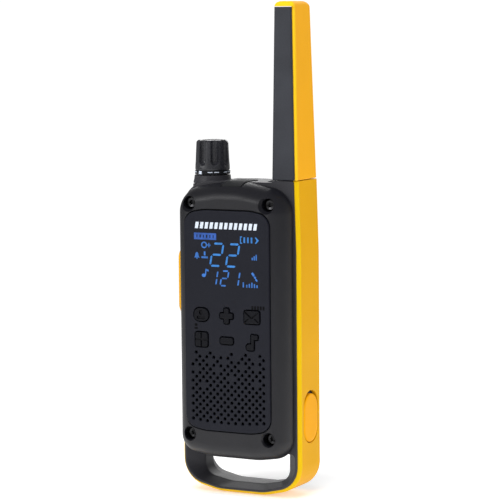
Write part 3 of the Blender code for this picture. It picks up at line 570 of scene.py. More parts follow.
def cell_green():
    """A battery's sleeve, with plain bands and bare metal at the ends."""
    paint = Paint("cell_green", roughness=0.32)
    height = paint.coordinate("Z")
    top = limits("battery_cell_1")[1].z
    band = paint.span(height, top - 16.0, top - 15.8, 0.0, 1.0)
    sleeve = paint.mix(band, (0.03, 0.22, 0.08), (0.52, 0.50, 0.46))
    cap = paint.span(height, top - 2.2, top - 2.0, 0.0, 1.0)
    grain = paint.noise(3.0, 2.0)
    worn = paint.mix(paint.span(grain, 0.3, 0.8, 0.0, 0.15), sleeve, (0.02, 0.12, 0.05))
    paint.colour(paint.mix(cap, worn, (0.62, 0.61, 0.58)))
    paint.link(cap, paint.shader, "Metallic")
    paint.bump(grain, 0.005)
    return paint.material


def cloth_black():
    paint = Paint("speaker_cloth", roughness=0.95)
    weave = []
    for direction in ("X", "Z"):
        wave = paint.add("ShaderNodeTexWave", bands_direction=direction, scale=1 / (4.0 * MM))
        paint.link(paint.place, wave, "Vector")
        weave.append(wave.outputs["Fac"])
    crossed = paint.add("ShaderNodeMath", operation="MULTIPLY")
    paint.link(weave[0], crossed, 0)
    paint.link(weave[1], crossed, 1)
    paint.colour(paint.ramp(crossed.outputs[0], (0.0, (0.003, 0.003, 0.003)), (1.0, (0.014, 0.014, 0.015))))
    paint.bump(crossed.outputs[0], 0.05)
    return paint.material


def light_guide():
    paint = Paint("light_guide", roughness=0.25)
    dots = paint.cells(1.0)
    paint.colour(paint.ramp(dots, (0.1, (0.75, 0.79, 0.84)), (0.5, (0.62, 0.67, 0.74))))
    paint.shader.inputs["Transmission Weight"].default_value = 0.2
    paint.bump(dots, 0.03)
    return paint.material


BOARD = board_green()
CELL = cell_green()
CLOTH = cloth_black()
GUIDE = light_guide()
PAPER = plastic("speaker_paper", (0.045, 0.045, 0.045), 0.9, grain=0.8, height=0.05, vary=0.2)
FERRITE = plastic("ferrite", (0.038, 0.038, 0.04), 0.6, grain=0.7, height=0.03)
MODULE = plastic("display_blue", (0.03, 0.12, 0.5), 0.3, grain=0.8, height=0.004)
BLUE = glowing("lit_blue", (0.050, 0.185, 0.57))
LABEL_BLUE = glowing("lit_label_blue", (0.040, 0.115, 0.43))
CYAN = glowing("lit_digit_blue", (0.050, 0.235, 0.64))
# The white of the printed bars, also used for the light marks on the knob's neck, which are partly painted
# highlights.
WHITE = plastic("white_print_and_glints", (0.62, 0.68, 0.78), 0.5, grain=0.4, height=0.003, vary=0.02)


# Front housing and its panel


def quarter_round(outer_inset, round_in, back, front, corners, rounds=18):
    """Sections of a dished shell whose edge follows a quarter ellipse from back to front."""
    stations = quarter(back, front - back, round_in, rounds, outer_inset)
    return [(depth, outline(corners, inset, 14)) for depth, inset in stations]


SCREW_BOXES = [limits(f"front_screw_{number}") for number in (1, 2, 3, 4)]
SCREWS = [((low.x + high.x) / 2, (low.z + high.z) / 2) for low, high in SCREW_BOXES]
SCREW_FACE = SCREW_BOXES[0][0].y
SHOULDER = 6.5
RECESS = 2.6
RECESS_FLOOR = -13.6
SCREW_HOLE = 1.2
SEAT_GAP = 0.3
PANEL_FLOOR = PANEL_MAX.y + SEAT_GAP
BUTTON_MIN, BUTTON_MAX = limits("top_button")
BUTTON_HOLE = (
    (BUTTON_MIN.x - SEAT_GAP, BUTTON_MAX.x + SEAT_GAP),
    (BUTTON_MIN.y - SEAT_GAP, BUTTON_MAX.y + SEAT_GAP),
    (118.0, 130.0),
)


def surface_depth(x, z):
    """Depth of the housing's rounded face at a place, from the distance to its outline."""
    top = BODY_TOP - TOP_DROP
    reach = min(HOUSING_HALF - abs(x), z - HOUSING_LOW.z)
    if abs(x) > HOUSING_HALF - TOP_CORNER and z > top - TOP_CORNER:
        across, up = abs(x) - HOUSING_HALF + TOP_CORNER, z - top + TOP_CORNER
        reach = TOP_CORNER - math.hypot(across, up)
    slope = max(0.0, min(1.0, 1 - reach / SHOULDER))
    return HOUSING_BACK + (HOUSING_FRONT - HOUSING_BACK) * math.sqrt(1 - slope * slope)


def make_front_housing():
    rounded = quarter_round(0.0, SHOULDER, HOUSING_BACK, HOUSING_FRONT, HOUSING_OUTLINE)
    shell = loft("housing_shell", rounded)
    inner = quarter_round(1.8, 5.2, HOUSING_BACK, -17.0, HOLLOW_OUTLINE)
    inner.insert(0, (HOUSING_BACK + 1.0, outline(HOLLOW_OUTLINE, 1.8, 14)))
    hollow = loft("hollow", inner)
    posts = [rod("post", RECESS + 1.2, -20, HOUSING_BACK - 0.6, place) for place in SCREWS]
    cut(hollow, merged("posts", posts))
    cut(shell, hollow)
    cutters = []
    for x, z in SCREWS:
        depth = surface_depth(x, z)
        rim = (
            (0, 2.0 - depth), (RECESS + 1.4, 2.0 - depth), (RECESS + 0.35, -0.15 - depth),
            (RECESS, -0.6 - depth), (RECESS, -RECESS_FLOOR), (0, -RECESS_FLOOR),
        )
        cutters.append(lathe("recess", rim, (x, 0, z), "-Y", 40))
    cut(shell, merged("recesses", cutters))
    holes = [rod("hole", SCREW_HOLE, RECESS_FLOOR - 1, HOUSING_BACK + 1, place) for place in SCREWS]
    cut(shell, merged("holes", holes))
    seat = (
        (HOUSING_FRONT - 2, -2.0), (HOUSING_FRONT - 0.3, -0.85),
        (HOUSING_FRONT + 0.25, -SEAT_GAP), (PANEL_FLOOR, -SEAT_GAP),
    )
    cut(shell, tapered("seat", PANEL_OUTLINE, seat, steps=10))
    windows = (
        block("display_window", (-15.4, 15.4), (-19, -16), (79.5, 108.5)),
        block("key_window", (-16.4, 16.4), (-19, -16), (57.6, 76.4)),
        block("speaker_window", (-16.2, 16.8), (-19, -16), (28.8, 57.0)),
    )
    cut(shell, merged("windows", windows))
    cut(shell, block("notch", *BUTTON_HOLE))
    return fit(shell, HOUSING, ROOT, "front_housing")


# Grille: a square lattice that stands on its corner, with a few places left out
GRILLE_LEFT = -15.1
GRILLE_PITCH_X = 1.54
GRILLE_PITCH_Z = 1.585
GRILLE_COLUMNS = 21
GRILLE_ROWS = 18
GRILLE_BASE = 29.7
GRILLE_RISE = 0.9
GRILLE_STRAIGHT = 10
GRILLE_HOLE = 0.6
GRILLE_RIM = 1.14
GRILLE_LEFT_OUT = {
    0: (3, 7, 9, 13, 17),
    1: (0, 12, 18),
    2: (5, 9),
    3: (14, 18),
    4: (1, 7),
    6: (11,),
    7: (18,),
    8: (3,),
}

UPPER_KEYS = 71.5
LOWER_KEYS = 61.8
KEY_COLUMN = 11.0
# Each key: x, z and its bars as offsets from that place, width, height and corner radius
KEYS = {
    "key_group": (-KEY_COLUMN, UPPER_KEYS, ((0, 0, 6.4, 5.0, 2.3),)),
    "key_plus": (0.0, UPPER_KEYS, ((0, 0, 5.6, 2.1, 0.5), (0, 0, 2.1, 5.9, 0.5))),
    "key_menu": (KEY_COLUMN, UPPER_KEYS, ((0, 0, 6.6, 5.0, 0.8),)),
    "key_grid": (-KEY_COLUMN, LOWER_KEYS, ((0, 0, 5.4, 5.6, 0.8),)),
    "key_minus": (0.0, LOWER_KEYS, ((0, 0, 5.6, 2.6, 0.8),)),
    "key_note": (
        KEY_COLUMN,
        LOWER_KEYS,
        ((-0.9, -1.9, 3.2, 2.4, 1.1), (0.2, 0, 1.2, 6.1, 0.4), (1.1, 2.0, 2.8, 1.8, 0.5)),
    ),
}
KEY_GAP = 0.38
KEY_FRONT = limits("key_plus")[0].y


def grille_holes():
    for row in range(GRILLE_ROWS):
        for column in range(1 - row % 2, GRILLE_COLUMNS, 2):
            if column in GRILLE_LEFT_OUT.get(row, ()):
                continue
            x = GRILLE_LEFT + GRILLE_PITCH_X * column
            fade = max(0.0, (row - GRILLE_STRAIGHT) / (GRILLE_ROWS - 1 - GRILLE_STRAIGHT))
            lift = GRILLE_RISE * fade * (x / GRILLE_LEFT) ** 2
            z = GRILLE_BASE + GRILLE_PITCH_Z * (GRILLE_ROWS - 1 - row) + lift
            yield x, z


def grille_cutter():
    """Round holes with a chamfered rim, all in one cutter."""
    bm = bmesh.new()
    rim = (PANEL_FRONT - 0.3, GRILLE_RIM)
    stations = (rim, (PANEL_FRONT + 0.22, GRILLE_HOLE), (PANEL_MAX.y + 0.5, GRILLE_HOLE))
    for x, z in grille_holes():
        skin(bm, [(depth, circle(x, z, radius, 14)) for depth, radius in stations])
    return as_object("grille_holes", bm)


def key_opening(name):
    """The key's bars grown all round, with a chamfer at the panel's face.

    The bars end at slightly different depths, so that they have no end face in common.
    """
    x, z, bars = KEYS[name]
    made = []
    for number, (u, v, width, height, radius) in enumerate(bars):
        bar = centred(x + u, z + v, width, height, radius)
        back = PANEL_MAX.y + 1 - 0.05 * number
        rim = (PANEL_FRONT - 0.5, -KEY_GAP - 0.6)
        stations = (rim, (PANEL_FRONT + 0.12, -KEY_GAP), (back, -KEY_GAP))
        made.append(tapered("opening", bar, stations, steps=6))
    return join(*made)


def make_front_panel():
    panel = slab("panel_plate", PANEL_OUTLINE, PANEL_FRONT, PANEL_MAX.y, edge=0.35)
    cut(panel, merged("openings", [key_opening(name) for name in KEYS]))
    cut(panel, grille_cutter())
    return fit(panel, PANEL, ROOT, "front_panel")


GROOVE_FLOOR = KEY_FRONT + 0.5


def groove(x, z, length, width, degrees=0, radius=0.1):
    """A cutter for a straight groove in a key's face, turned about its own middle.

    Its floor shifts slightly with the turn, so that grooves that cross have no face in common.
    """
    turn = math.radians(degrees)
    points = outline(centred(0, 0, length, width, radius), steps=4)
    ring = [Vector((x, z)) + Matrix.Rotation(turn, 2) @ point for point in points]
    return loft("groove", [(KEY_FRONT - 1, ring), (GROOVE_FLOOR + 0.01 * turn, ring)])


def make_key(name):
    """A rubber key: its cap has the shape of its sign, or carries the sign as grooves."""
    x, z, bars = KEYS[name]
    caps = []
    for number, (u, v, width, height, radius) in enumerate(bars):
        bar = centred(x + u, z + v, width, height, radius)
        back = -17.3 - 0.05 * number
        caps.append(slab("cap", bar, KEY_FRONT, back, edge=0.3, steps=6, rounds=4))
    cap = join(*caps)
    join(cap, slab("flange", centred(x, z, 8.4, 7.6, 1.2), -17.9, -16.9, steps=4))
    cutters = []
    if name == "key_group":
        cutters.append(rod("head", 0.95, KEY_FRONT - 1, GROOVE_FLOOR, (x, z + 0.85), segments=24))
        cutters.append(groove(x, z - 1.15, 3.8, 1.2, radius=0.55))
    elif name == "key_menu":
        for side in (-1, 1):
            cutters.append(groove(x + side * 1.5, z + 0.85, 3.7, 0.6, side * 40))
            cutters.append(groove(x + side * 2.05, z - 1.2, 2.2, 0.5, side * -40))
    elif name == "key_grid":
        cutters.append(groove(x, z, 6.5, 0.75))
        cutters.append(groove(x + 0.05, z, 6.7, 0.75, 90))
    cut(cap, *cutters)
    return fit(cap, KEY, name, name)


def make_screw(number, x, z):
    """A dished head with a six-lobed socket on a plain shank."""
    profile = (
        (0, -0.35), (1.2, -0.12), (1.75, 0.0), (2.05, -0.12), (2.2, -0.4), (2.2, -2.0), (0, -2.0),
    )
    head = lathe("screw_head", profile, (x, SCREW_FACE, z), "-Y", 40)
    front, floor = SCREW_FACE - 0.6, SCREW_FACE + 1.0
    lobes = [rod("core", 0.8, front, floor, (x, z), segments=24)]
    for i, place in enumerate(circle(x, z, 0.82, 6)):
        lobes.append(rod("lobe", 0.3, front + 0.02 * i, floor - 0.02, place, segments=12))
    cut(head, join(*lobes))
    join(head, rod("shank", 1.0, SCREW_FACE + 1.5, -5.6, (x, z), segments=24))
    return fit(head, SCREW, ROOT, f"front_screw_{number}")


# Band and frame

PTT_MIN, PTT_MAX = limits("ptt_button")
PTT_Z = (PTT_MIN.z + PTT_MAX.z) / 2
PTT_WIDTH = 12.0
PTT_HEIGHT = 28.0
PORT_MIN, PORT_MAX = limits("port_cover")
PORT_Y = (PORT_MIN.y + PORT_MAX.y) / 2
PORT_WIDTH = 12.0
PORT_HEIGHT = 20.0  # of the hole, which is a little longer than the cover
PORT_Z = PORT_MIN.z + PORT_HEIGHT / 2
BAND_LEFT_TOP = 108.0
LIP_BACK = -9.3
COLLAR_MIN, COLLAR_MAX = limits("knob_collar")
COLLAR_LOW = 121.2
WALL_FRONT = -3.8
WALL_BACK = -2.6


def make_side_band():
    front, back = BAND_LOW.y, BAND_HIGH.y
    stations = (
        (front, 1.2), (front + 0.08, 1.08), (front + 1.05, 0.1), (front + 1.3, 0.0),
        (back - 0.55, 0.0), (back - 0.3, 0.07), (back - 0.1, 0.25), (back, 0.5),
    )
    band = tapered("band", BAND_OUTLINE, stations, steps=14)
    inside = ((front - 2, BAND_THICK), (back + 2, BAND_THICK))
    cut(band, tapered("inside", BAND_OUTLINE, inside, steps=14))
    cut(band, block("top", (-30, 30), (-12, 12), (BAND_HIGH.z, 130)))
    cut(band, block("left_top", (-30, 21), (-12, 12), (BAND_LEFT_TOP, 131)))
    ptt = centred(0, PTT_Z, PTT_WIDTH + 2 * SEAT_GAP, PTT_HEIGHT + 2 * SEAT_GAP, 5.0)
    rims = ((-28.0, -2.2), (-26.05, -0.35), (-25.6, 0.0), (-21.0, 0.0))
    cut(band, tapered("ptt_hole", ptt, rims, "X", 10))
    port = centred(PORT_Y, PORT_Z, PORT_WIDTH + 2 * SEAT_GAP, PORT_HEIGHT + 2 * SEAT_GAP, 6.2)
    rims = ((21.0, 0.0), (25.75, 0.0), (26.05, -0.2), (28.0, -2.0))
    cut(band, tapered("port_hole", port, rims, "X"))
    return fit(band, YELLOW, ROOT, "side_band")


# The carry loop narrows from both faces to a rounded ring.
# Each row: y, half width, lowest z, rise, corner radius, half width of its flat
LOOP = (
    (-12.0, 25.7, 1.3, 3.7, 10.5, 10.0),
    (-9.9, 24.0, 2.05, 3.7, 9.2, 10.0),
    (-9.6, 23.7, 2.2, 3.7, 8.9, 10.0),
    (-4.4, 19.2, 3.25, 2.4, 6.0, 7.2),
    (-3.9, 18.75, 3.45, 2.3, 5.6, 7.0),
    (-3.4, 18.6, 3.6, 2.2, 5.5, 7.0),
    (2.4, 18.6, 3.6, 2.2, 5.5, 7.0),
    (3.0, 18.9, 3.45, 2.2, 5.7, 7.0),
    (8.1, 22.0, 2.9, 3.0, 8.0, 9.0),
    (12.0, 24.5, 2.5, 3.6, 9.5, 10.0),
)


def make_mid_frame():
    front, back = FRAME_LOW.y, FRAME_HIGH.y
    stations = (
        (front, LIP_INSET + 0.3), (front + 0.09, LIP_INSET + 0.09), (front + 0.3, LIP_INSET),
        (LIP_BACK, LIP_INSET), (LIP_BACK, FRAME_INSET), (back - 0.3, FRAME_INSET),
        (back, FRAME_INSET + 0.3),
    )
    body = tapered("frame", BAND_OUTLINE, stations, steps=14)
    cut(body, block("above", (-30, 30), (-12, 12), (FRAME_HIGH.z, 130)))
    cut(body, block("beside", (-30, CORE_MIN.x), (-12, 12), (BODY_TOP, 129)))
    seat = COLLAR_LOW - 0.4
    join(body, rod("pedestal", 7.7, BAND_LEFT_TOP + 4.0, seat, KNOB_PLACE, "Z", 64))
    cut(body, rod("collar_seat", 7.9, seat, 130, KNOB_PLACE, "Z", 64))
    cut(body, loft("loop", [(depth, outline(loop_corners(*size), 0.0, 14)) for depth, *size in LOOP]))
    bay = rectangle(-21.6, 21.6, 20.5, 119.5, 6.0)
    cut(body, slab("front_bay", bay, -12, WALL_FRONT), slab("rear_bay", bay, WALL_BACK, 12))
    for x, z in SCREWS:
        side = math.copysign(1, x)
        upper = z > BODY_TOP / 2
        across = sorted((side * 13.8, side * 22.1))
        corners = rectangle(*across, 111.0, 120.0) if upper else rectangle(*across, 20.0, 28.4)
        if upper:  # the corner at the frame's own rounded corner
            outer = 2 if side > 0 else 3
            corners[outer] = (*corners[outer][:2], 8.0)
        join(body, slab("block", corners, front + 0.2, -5.0))
    cut(body, merged("screw_holes", [rod("hole", SCREW_HOLE, -12, -5.3, place) for place in SCREWS]))
    cut(
        body,
        block("pot_pocket", (KNOB_X - 4.3, KNOB_X + 4.3), (-4.9, 3.9), (106.0, 117.6)),
        rod("collar_hole", 3.8, 115, 126, KNOB_PLACE, "Z"),
        block("switch_pocket", (-3.5, 4.0), (-6.5, -1.5), (113.6, 119.8)),
        block("button_hole", *BUTTON_HOLE),
        block("antenna_hole", (18.4, 21.8), (-1.6, 2.4), (114.0, 130.0)),
        block("ptt_slot", (-28, -20), (-6.1, -3.95), (77.8, 86.8)),
        slab("ptt_pocket", centred(0, PTT_Z, 12.6, 28.6, 5.0), -28, -22.4, "X"),
        block("usb_opening", (20, 26), (PORT_Y - 2.4, PORT_Y + 2.4), (23.6, 32.4)),
        rod("jack_opening", 2.8, 20, 26, (PORT_Y, 37.0), "X"),
    )
    return fit(body, FRAME, ROOT, "mid_frame")


# Antenna

TIP_ROUND = 2.0


def antenna_section(z, inset, lip):
    """The antenna's outline at a height: it narrows evenly, and its back leans forwards."""
    share = (z - SEAM_Z) / (ANTENNA_MAX.z - SEAM_Z)
    left = CORE_MIN.x + 1.5 * share
    right = TOP_HALF - 0.8 * share - lip
    back = CORE_MAX.y - 3.4 * share
    front = FRAME_LOW.y
    corners = rectangle(left + inset, right - inset, front + inset, back - inset, 0.9)
    return outline(corners, steps=6)


def antenna_outside(name, lip):
    low, high = SEAM_Z + 0.3, ANTENNA_MAX.z - TIP_ROUND
    rings = 13
    stations = [(SEAM_Z, 0.25)]
    stations += [(low + (high - low) * ring / rings, 0.0) for ring in range(rings)]
    stations += quarter(high, TIP_ROUND, TIP_ROUND, 7)
    return loft(name, [(z, antenna_section(z, inset, lip)) for z, inset in stations], "Z")


def back_corner():
    """A cutter that rounds the antenna's top rear corner, seen from the side."""
    radius = 4.5
    top, back = ANTENNA_MAX.z, 5.0
    y, z = back - radius, top - radius
    points = [(back + 8, top + 8), (y - 0.5, top + 8), (y - 0.5, top + 0.4)]
    points += [(y + radius * math.cos(turn), z + radius * math.sin(turn)) for turn in angles(90, 0, 12)]
    points += [(back + 0.8, z - 8), (back + 8, z - 8)]
    return loft("back_corner", [(10, points), (30, points)], "X")


def make_antenna():
    """A dark core, and a yellow shell over its right side and its top."""
    top = ANTENNA_MAX.z
    split_x, split_z = TOP_HALF - 1.8, top - TIP_ROUND
    core = antenna_outside("core", 0.8)
    cut(core, block("side", (split_x - 0.2, 30), (LIP_BACK, 12), (SEAM_Z - 1, top + 5)))
    cut(core, block("top", (10, 30), (-12, 12), (split_z - 0.2, top + 5)))
    cut(core, block("hollow", (17.8, 22.2), (-4.6, 3.4), (SEAM_Z - 1, 186.0)), back_corner())
    fit(core, GREY, ROOT, "antenna_core")
    shell = antenna_outside("shell", 0.0)
    cut(shell, block("inside", (10, split_x), (-12, 12), (SEAM_Z - 1, split_z)))
    cut(shell, block("front", (10, 30), (-12, BAND_LOW.y), (SEAM_Z - 2, split_z - 0.1)))
    cut(shell, back_corner())
    fit(shell, ANTENNA_YELLOW, ROOT, "antenna_shell")


# Controls on top and at the sides


def grooves(heights, width, height, corner, depths, axis="Y", narrowing=0.0):
    """One cutter for level grooves, one above another."""
    made = []
    for number, z in enumerate(heights):
        shape = centred(0, z, width - narrowing * number, height, corner)
        made.append(slab("groove", shape, *depths, axis, steps=4))
    return merged("grooves", made)


FLUTES = 8
FLUTE_LOW = 128.3
FLUTE_HALF = 1.6
# Distance from the knob's axis, and how much wider the scoop is there than FLUTE_HALF
FLUTE_WALL = (
    (4.75, -1.25), (4.80, -1.0), (4.95, -0.72), (5.2, -0.46), (5.6, -0.22), (6.05, -0.07),
    (6.35, 0.02), (6.52, 0.14), (6.66, 0.32), (6.78, 0.6), (6.9, 1.0), (7.4, 1.9),
)
FLUTE_TURN = math.radians(36.0)
KNOB_RADIUS = 6.8
KNOB_TOP_RADIUS = 6.4
KNOB_LOW = 126.2
NECK_RADIUS = 6.92
SHAFT_RADIUS = 1.8


def round_knob(obj, turn):
    """Move a piece made at the origin to the knob's axis, turned about that axis."""
    obj.data.transform(Matrix.Translation((KNOB_X * MM, KNOB_Y * MM, 0)) @ Matrix.Rotation(turn, 4, "Z"))
    return obj


def flute_cutter(turn):
    """A scoop with a rounded lower end, cut from the side of the knob and out of its top edge."""
    middle = FLUTE_LOW + FLUTE_HALF
    top = KNOB_MAX.z + 2
    sections = []
    for depth, grow in FLUTE_WALL:
        radius = FLUTE_HALF + grow
        turns = angles(180, 360, 12)
        ring = [(radius * math.cos(a), middle + radius * math.sin(a)) for a in turns]
        sections.append((depth, [*ring, (radius, top), (-radius, top)]))
    return round_knob(loft("flute", sections, "X"), turn)


def make_knob():
    low, high = KNOB_LOW, KNOB_MAX.z
    side = (
        (0, high - 0.25), (KNOB_TOP_RADIUS - 2.4, high - 0.25), (KNOB_TOP_RADIUS - 1.9, high),
        (KNOB_TOP_RADIUS - 0.9, high), (KNOB_TOP_RADIUS - 0.1, high - 0.8), (KNOB_RADIUS, low + 0.6),
        (KNOB_RADIUS - 0.05, low + 0.15), (KNOB_RADIUS - 0.2, low), (6.5, low), (6.45, low - 0.2),
        (6.45, KNOB_MIN.z + 0.1), (6.35, KNOB_MIN.z), (0, KNOB_MIN.z),
    )
    knob = lathe("knob", rounded_profile(side, 0.35), (*KNOB_PLACE, 0), steps=128)
    turns = [FLUTE_TURN + 2 * math.pi * number / FLUTES for number in range(FLUTES)]
    cut(knob, merged("flutes", [flute_cutter(turn) for turn in turns]))
    cut(knob, rod("bore", SHAFT_RADIUS + 0.1, 120, high - 2.7, KNOB_PLACE, "Z"))
    fit(knob, KNOB, "volume_control", "volume_knob")


BOLD_MARK = -106
# Short light marks, partly volume ticks and partly painted highlights standing in for reflections on glossy
# nubs.
SMALL_TICKS_AND_GLINTS = (-70, -49, -15, 6, 40, 61, 95, 116, 150, 171, 205, 226)


def make_knob_ring():
    """The glossy neck under the knob, with one bold mark and short light marks round it; the short marks
    are partly volume ticks and partly painted highlights, set in pairs where glossy nubs would catch light.
    """
    low, high = KNOB_MIN.z + 0.12, KNOB_LOW - 0.08
    ring = ((NECK_RADIUS, high), (NECK_RADIUS, low), (6.35, low), (6.35, high))
    fit(lathe("knob_neck", ring, (*KNOB_PLACE, 0), steps=96), GLOSS, "volume_control")
    depth = (NECK_RADIUS - 0.12, NECK_RADIUS + 0.02)
    bold = block("mark", depth, (-0.75, 0.75), (low + 0.1, high - 0.05))
    marks = [round_knob(bold, math.radians(BOLD_MARK))]
    for degrees in SMALL_TICKS_AND_GLINTS:
        small = block("mark", depth, (-0.95, 0.95), (high - 0.7, high - 0.38))
        marks.append(round_knob(small, math.radians(degrees)))
    fit(merged("knob_marks_and_glints", marks), WHITE, "volume_control")


def make_collar():
    top = COLLAR_MAX.z
    foot = COLLAR_MAX.x - KNOB_X
    profile = (
        (2.1, 122.8), (3.9, 122.8), (3.9, top - 0.15), (4.05, top), (6.98, top), (7.07, top - 0.1),
        (7.1, top - 0.3), (7.25, COLLAR_LOW + 1.5), (foot - 0.02, COLLAR_LOW + 0.5),
        (foot, COLLAR_LOW), (3.5, COLLAR_LOW), (3.5, COLLAR_MIN.z), (2.1, COLLAR_MIN.z),
    )
    fit(lathe("collar", profile, (*KNOB_PLACE, 0), steps=96), FRAME, ROOT, "knob_collar")


def make_top_button():
    """The pad follows the housing's rounded top edge."""
    front, back = BUTTON_MIN.y, BUTTON_MAX.y
    low, high = BODY_TOP - 2.2, BUTTON_MAX.z
    points = [
        (front, low), (back, low), (back, high - 0.15), (back - 0.15, high), (HOUSING_BACK + 0.6, high),
        (HOUSING_BACK - 0.6, high - 0.02), (front + 3.6, high - 0.2), (front + 1.6, high - 0.8),
        (front + 0.4, high - 1.25), (front + 0.06, high - 1.45), (front, high - 1.6),
    ]
    left, right = BUTTON_MIN.x, BUTTON_MAX.x
    middle = Vector(((front + back) / 2, (low + high) / 2))
    whole = [Vector(point) for point in points]
    end = [point + (middle - point).normalized() * 0.15 for point in whole]
    pad = loft("pad", [(left, end), (left + 0.15, whole), (right - 0.15, whole), (right, end)], "X")
    join(pad, block("stem", (-1.5, 2), (-6.0, -2.0), (118.6, 121.0)))
    fit(pad, RUBBER, "top_button", "top_button")


def make_ptt():
    """The push-to-talk button: a domed pad with five grooves for the thumb, on a stem."""
    out = PTT_MIN.x
    stations = (
        (-24.1, 0.0), (out + 2.2, 0.0), (out + 1.5, 0.22), (out + 0.9, 0.62), (out + 0.45, 1.2),
        (out + 0.15, 2.0), (out, 3.0),
    )
    button = tapered("ptt", centred(0, PTT_Z, PTT_WIDTH, PTT_HEIGHT, 4.9), stations, "X")
    join(button, block("stem", (-24.6, -20.9), (-5.8, -4.3), (78.2, 86.4)))
    heights = [PTT_Z - 5.0 + 2.5 * number for number in range(5)]
    cut(button, grooves(heights, 5.6, 0.6, 0.25, (out - 1, out + 0.3), "X"))
    fit(button, YELLOW, "ptt_button", "ptt_button")


def make_port_cover():
    """The soft cover: a slightly domed plate with rows of small raised dots."""
    shape = rectangle(PORT_MIN.y, PORT_MAX.y, PORT_MIN.z, PORT_MAX.z, 5.9)
    out = PORT_MAX.x
    stations = (
        (PORT_MIN.x, 0.0), (out - 0.55, 0.0), (out - 0.3, 0.1), (out - 0.12, 0.35), (out - 0.05, 0.7),
        (out - 0.02, 1.2),
    )
    fit(tapered("cover", shape, stations, "X", 14), ORANGE, "port_cover", "port_cover")
    dots = []
    for row in range(4):
        for column in range(3):
            place = (PORT_Y - 2.2 + 2.2 * column, PORT_Z - 3.9 + 2.6 * row)
            dots.append(rod("dot", 0.5, out - 0.3, out - 0.005, place, "X", 16, 0.42))
    fit(merged("cover_dots", dots), ORANGE, "port_cover")


# Rear

DOOR_MIN, DOOR_MAX = limits("battery_door")
REAR_MIN, REAR_MAX = limits("rear_housing")
LATCH_MIN, LATCH_MAX = limits("battery_latch")
DOOR_BACK = 14.6  # of the door itself, without the latch
CLIP_MIN, CLIP_MAX = limits("belt_clip")
CLIP_PIVOT_Y = 17.6
CLIP_PIVOT_Z = 86.0
CLIP_PIVOT = (CLIP_PIVOT_Y, CLIP_PIVOT_Z)


def make_rear_housing():
    corners = housing_corners(REAR_MAX.x, REAR_MIN.z, LOOP_CORNER)
    shell = loft("rear", quarter_round(0.0, 3.0, REAR_MIN.y, REAR_MAX.y, corners, rounds=12))
    floor = REAR_MAX.y - 2.0
    hollow = ((REAR_MIN.y - 1.3, 1.6), (REAR_MIN.y + 1.7, 1.8), (floor, 3.6))
    cut(shell, tapered("hollow", corners, hollow))
    half = DOOR_MAX.x + SEAT_GAP
    window = rectangle(-half, half, DOOR_MIN.z - SEAT_GAP, DOOR_MAX.z + SEAT_GAP)
    rims = ((9.0, 0.0), (REAR_MAX.y - 0.3, 0.0), (REAR_MAX.y + 0.05, -0.35), (REAR_MAX.y + 2, -2.3))
    cut(shell, tapered("window", window, rims, steps=3))
    fit(shell, REAR, ROOT, "rear_housing")


def make_battery_door():
    """The door with its grip grooves, and the ribbed latch that slides in its slot."""
    back, edge = DOOR_BACK, 1.4
    corners = rectangle(-DOOR_MAX.x, DOOR_MAX.x, DOOR_MIN.z, DOOR_MAX.z, 3.0)
    door = tapered("door", corners, [(DOOR_MIN.y, 0.0), *quarter(back - edge, edge, 1.8, 8)], steps=10)
    heights = [DOOR_MIN.z + 4.0 + 1.5 * number for number in range(6)]
    grip = grooves(heights, 26.0, 0.6, 0.28, (back - 0.3, 17), narrowing=2.0)
    cut(door, block("latch_slot", (-7.3, 7.3), (back - 1.3, 17), (92.7, 104)), grip)
    fit(door, REAR, "battery_door", "battery_door")
    latch = block("latch", *zip(LATCH_MIN, LATCH_MAX), 0.4, 4)
    levels = [LATCH_MIN.z + 1.4 + 1.6 * number for number in range(3)]
    ribs = [block("rib", (-5, 5), (back + 0.3, 17), (z, z + 0.7)) for z in levels]
    cut(latch, merged("ribs", ribs))
    fit(latch, REAR, "battery_latch", "battery_latch")


def add_ears(part, across, depth, half, tip):
    """Give a part two ears with round tips on the clip's pivot, and the pin's hole through them."""
    tall = (CLIP_PIVOT_Z - half, CLIP_PIVOT_Z + half)
    for side in (-1, 1):
        ends = sorted(side * end for end in across)
        join(part, block("ear", ends, depth, tall))
        join(part, rod("tip", tip, *ends, CLIP_PIVOT, "X"))
    cut(part, rod("pin_hole", 0.95, -9, 9, CLIP_PIVOT, "X"))


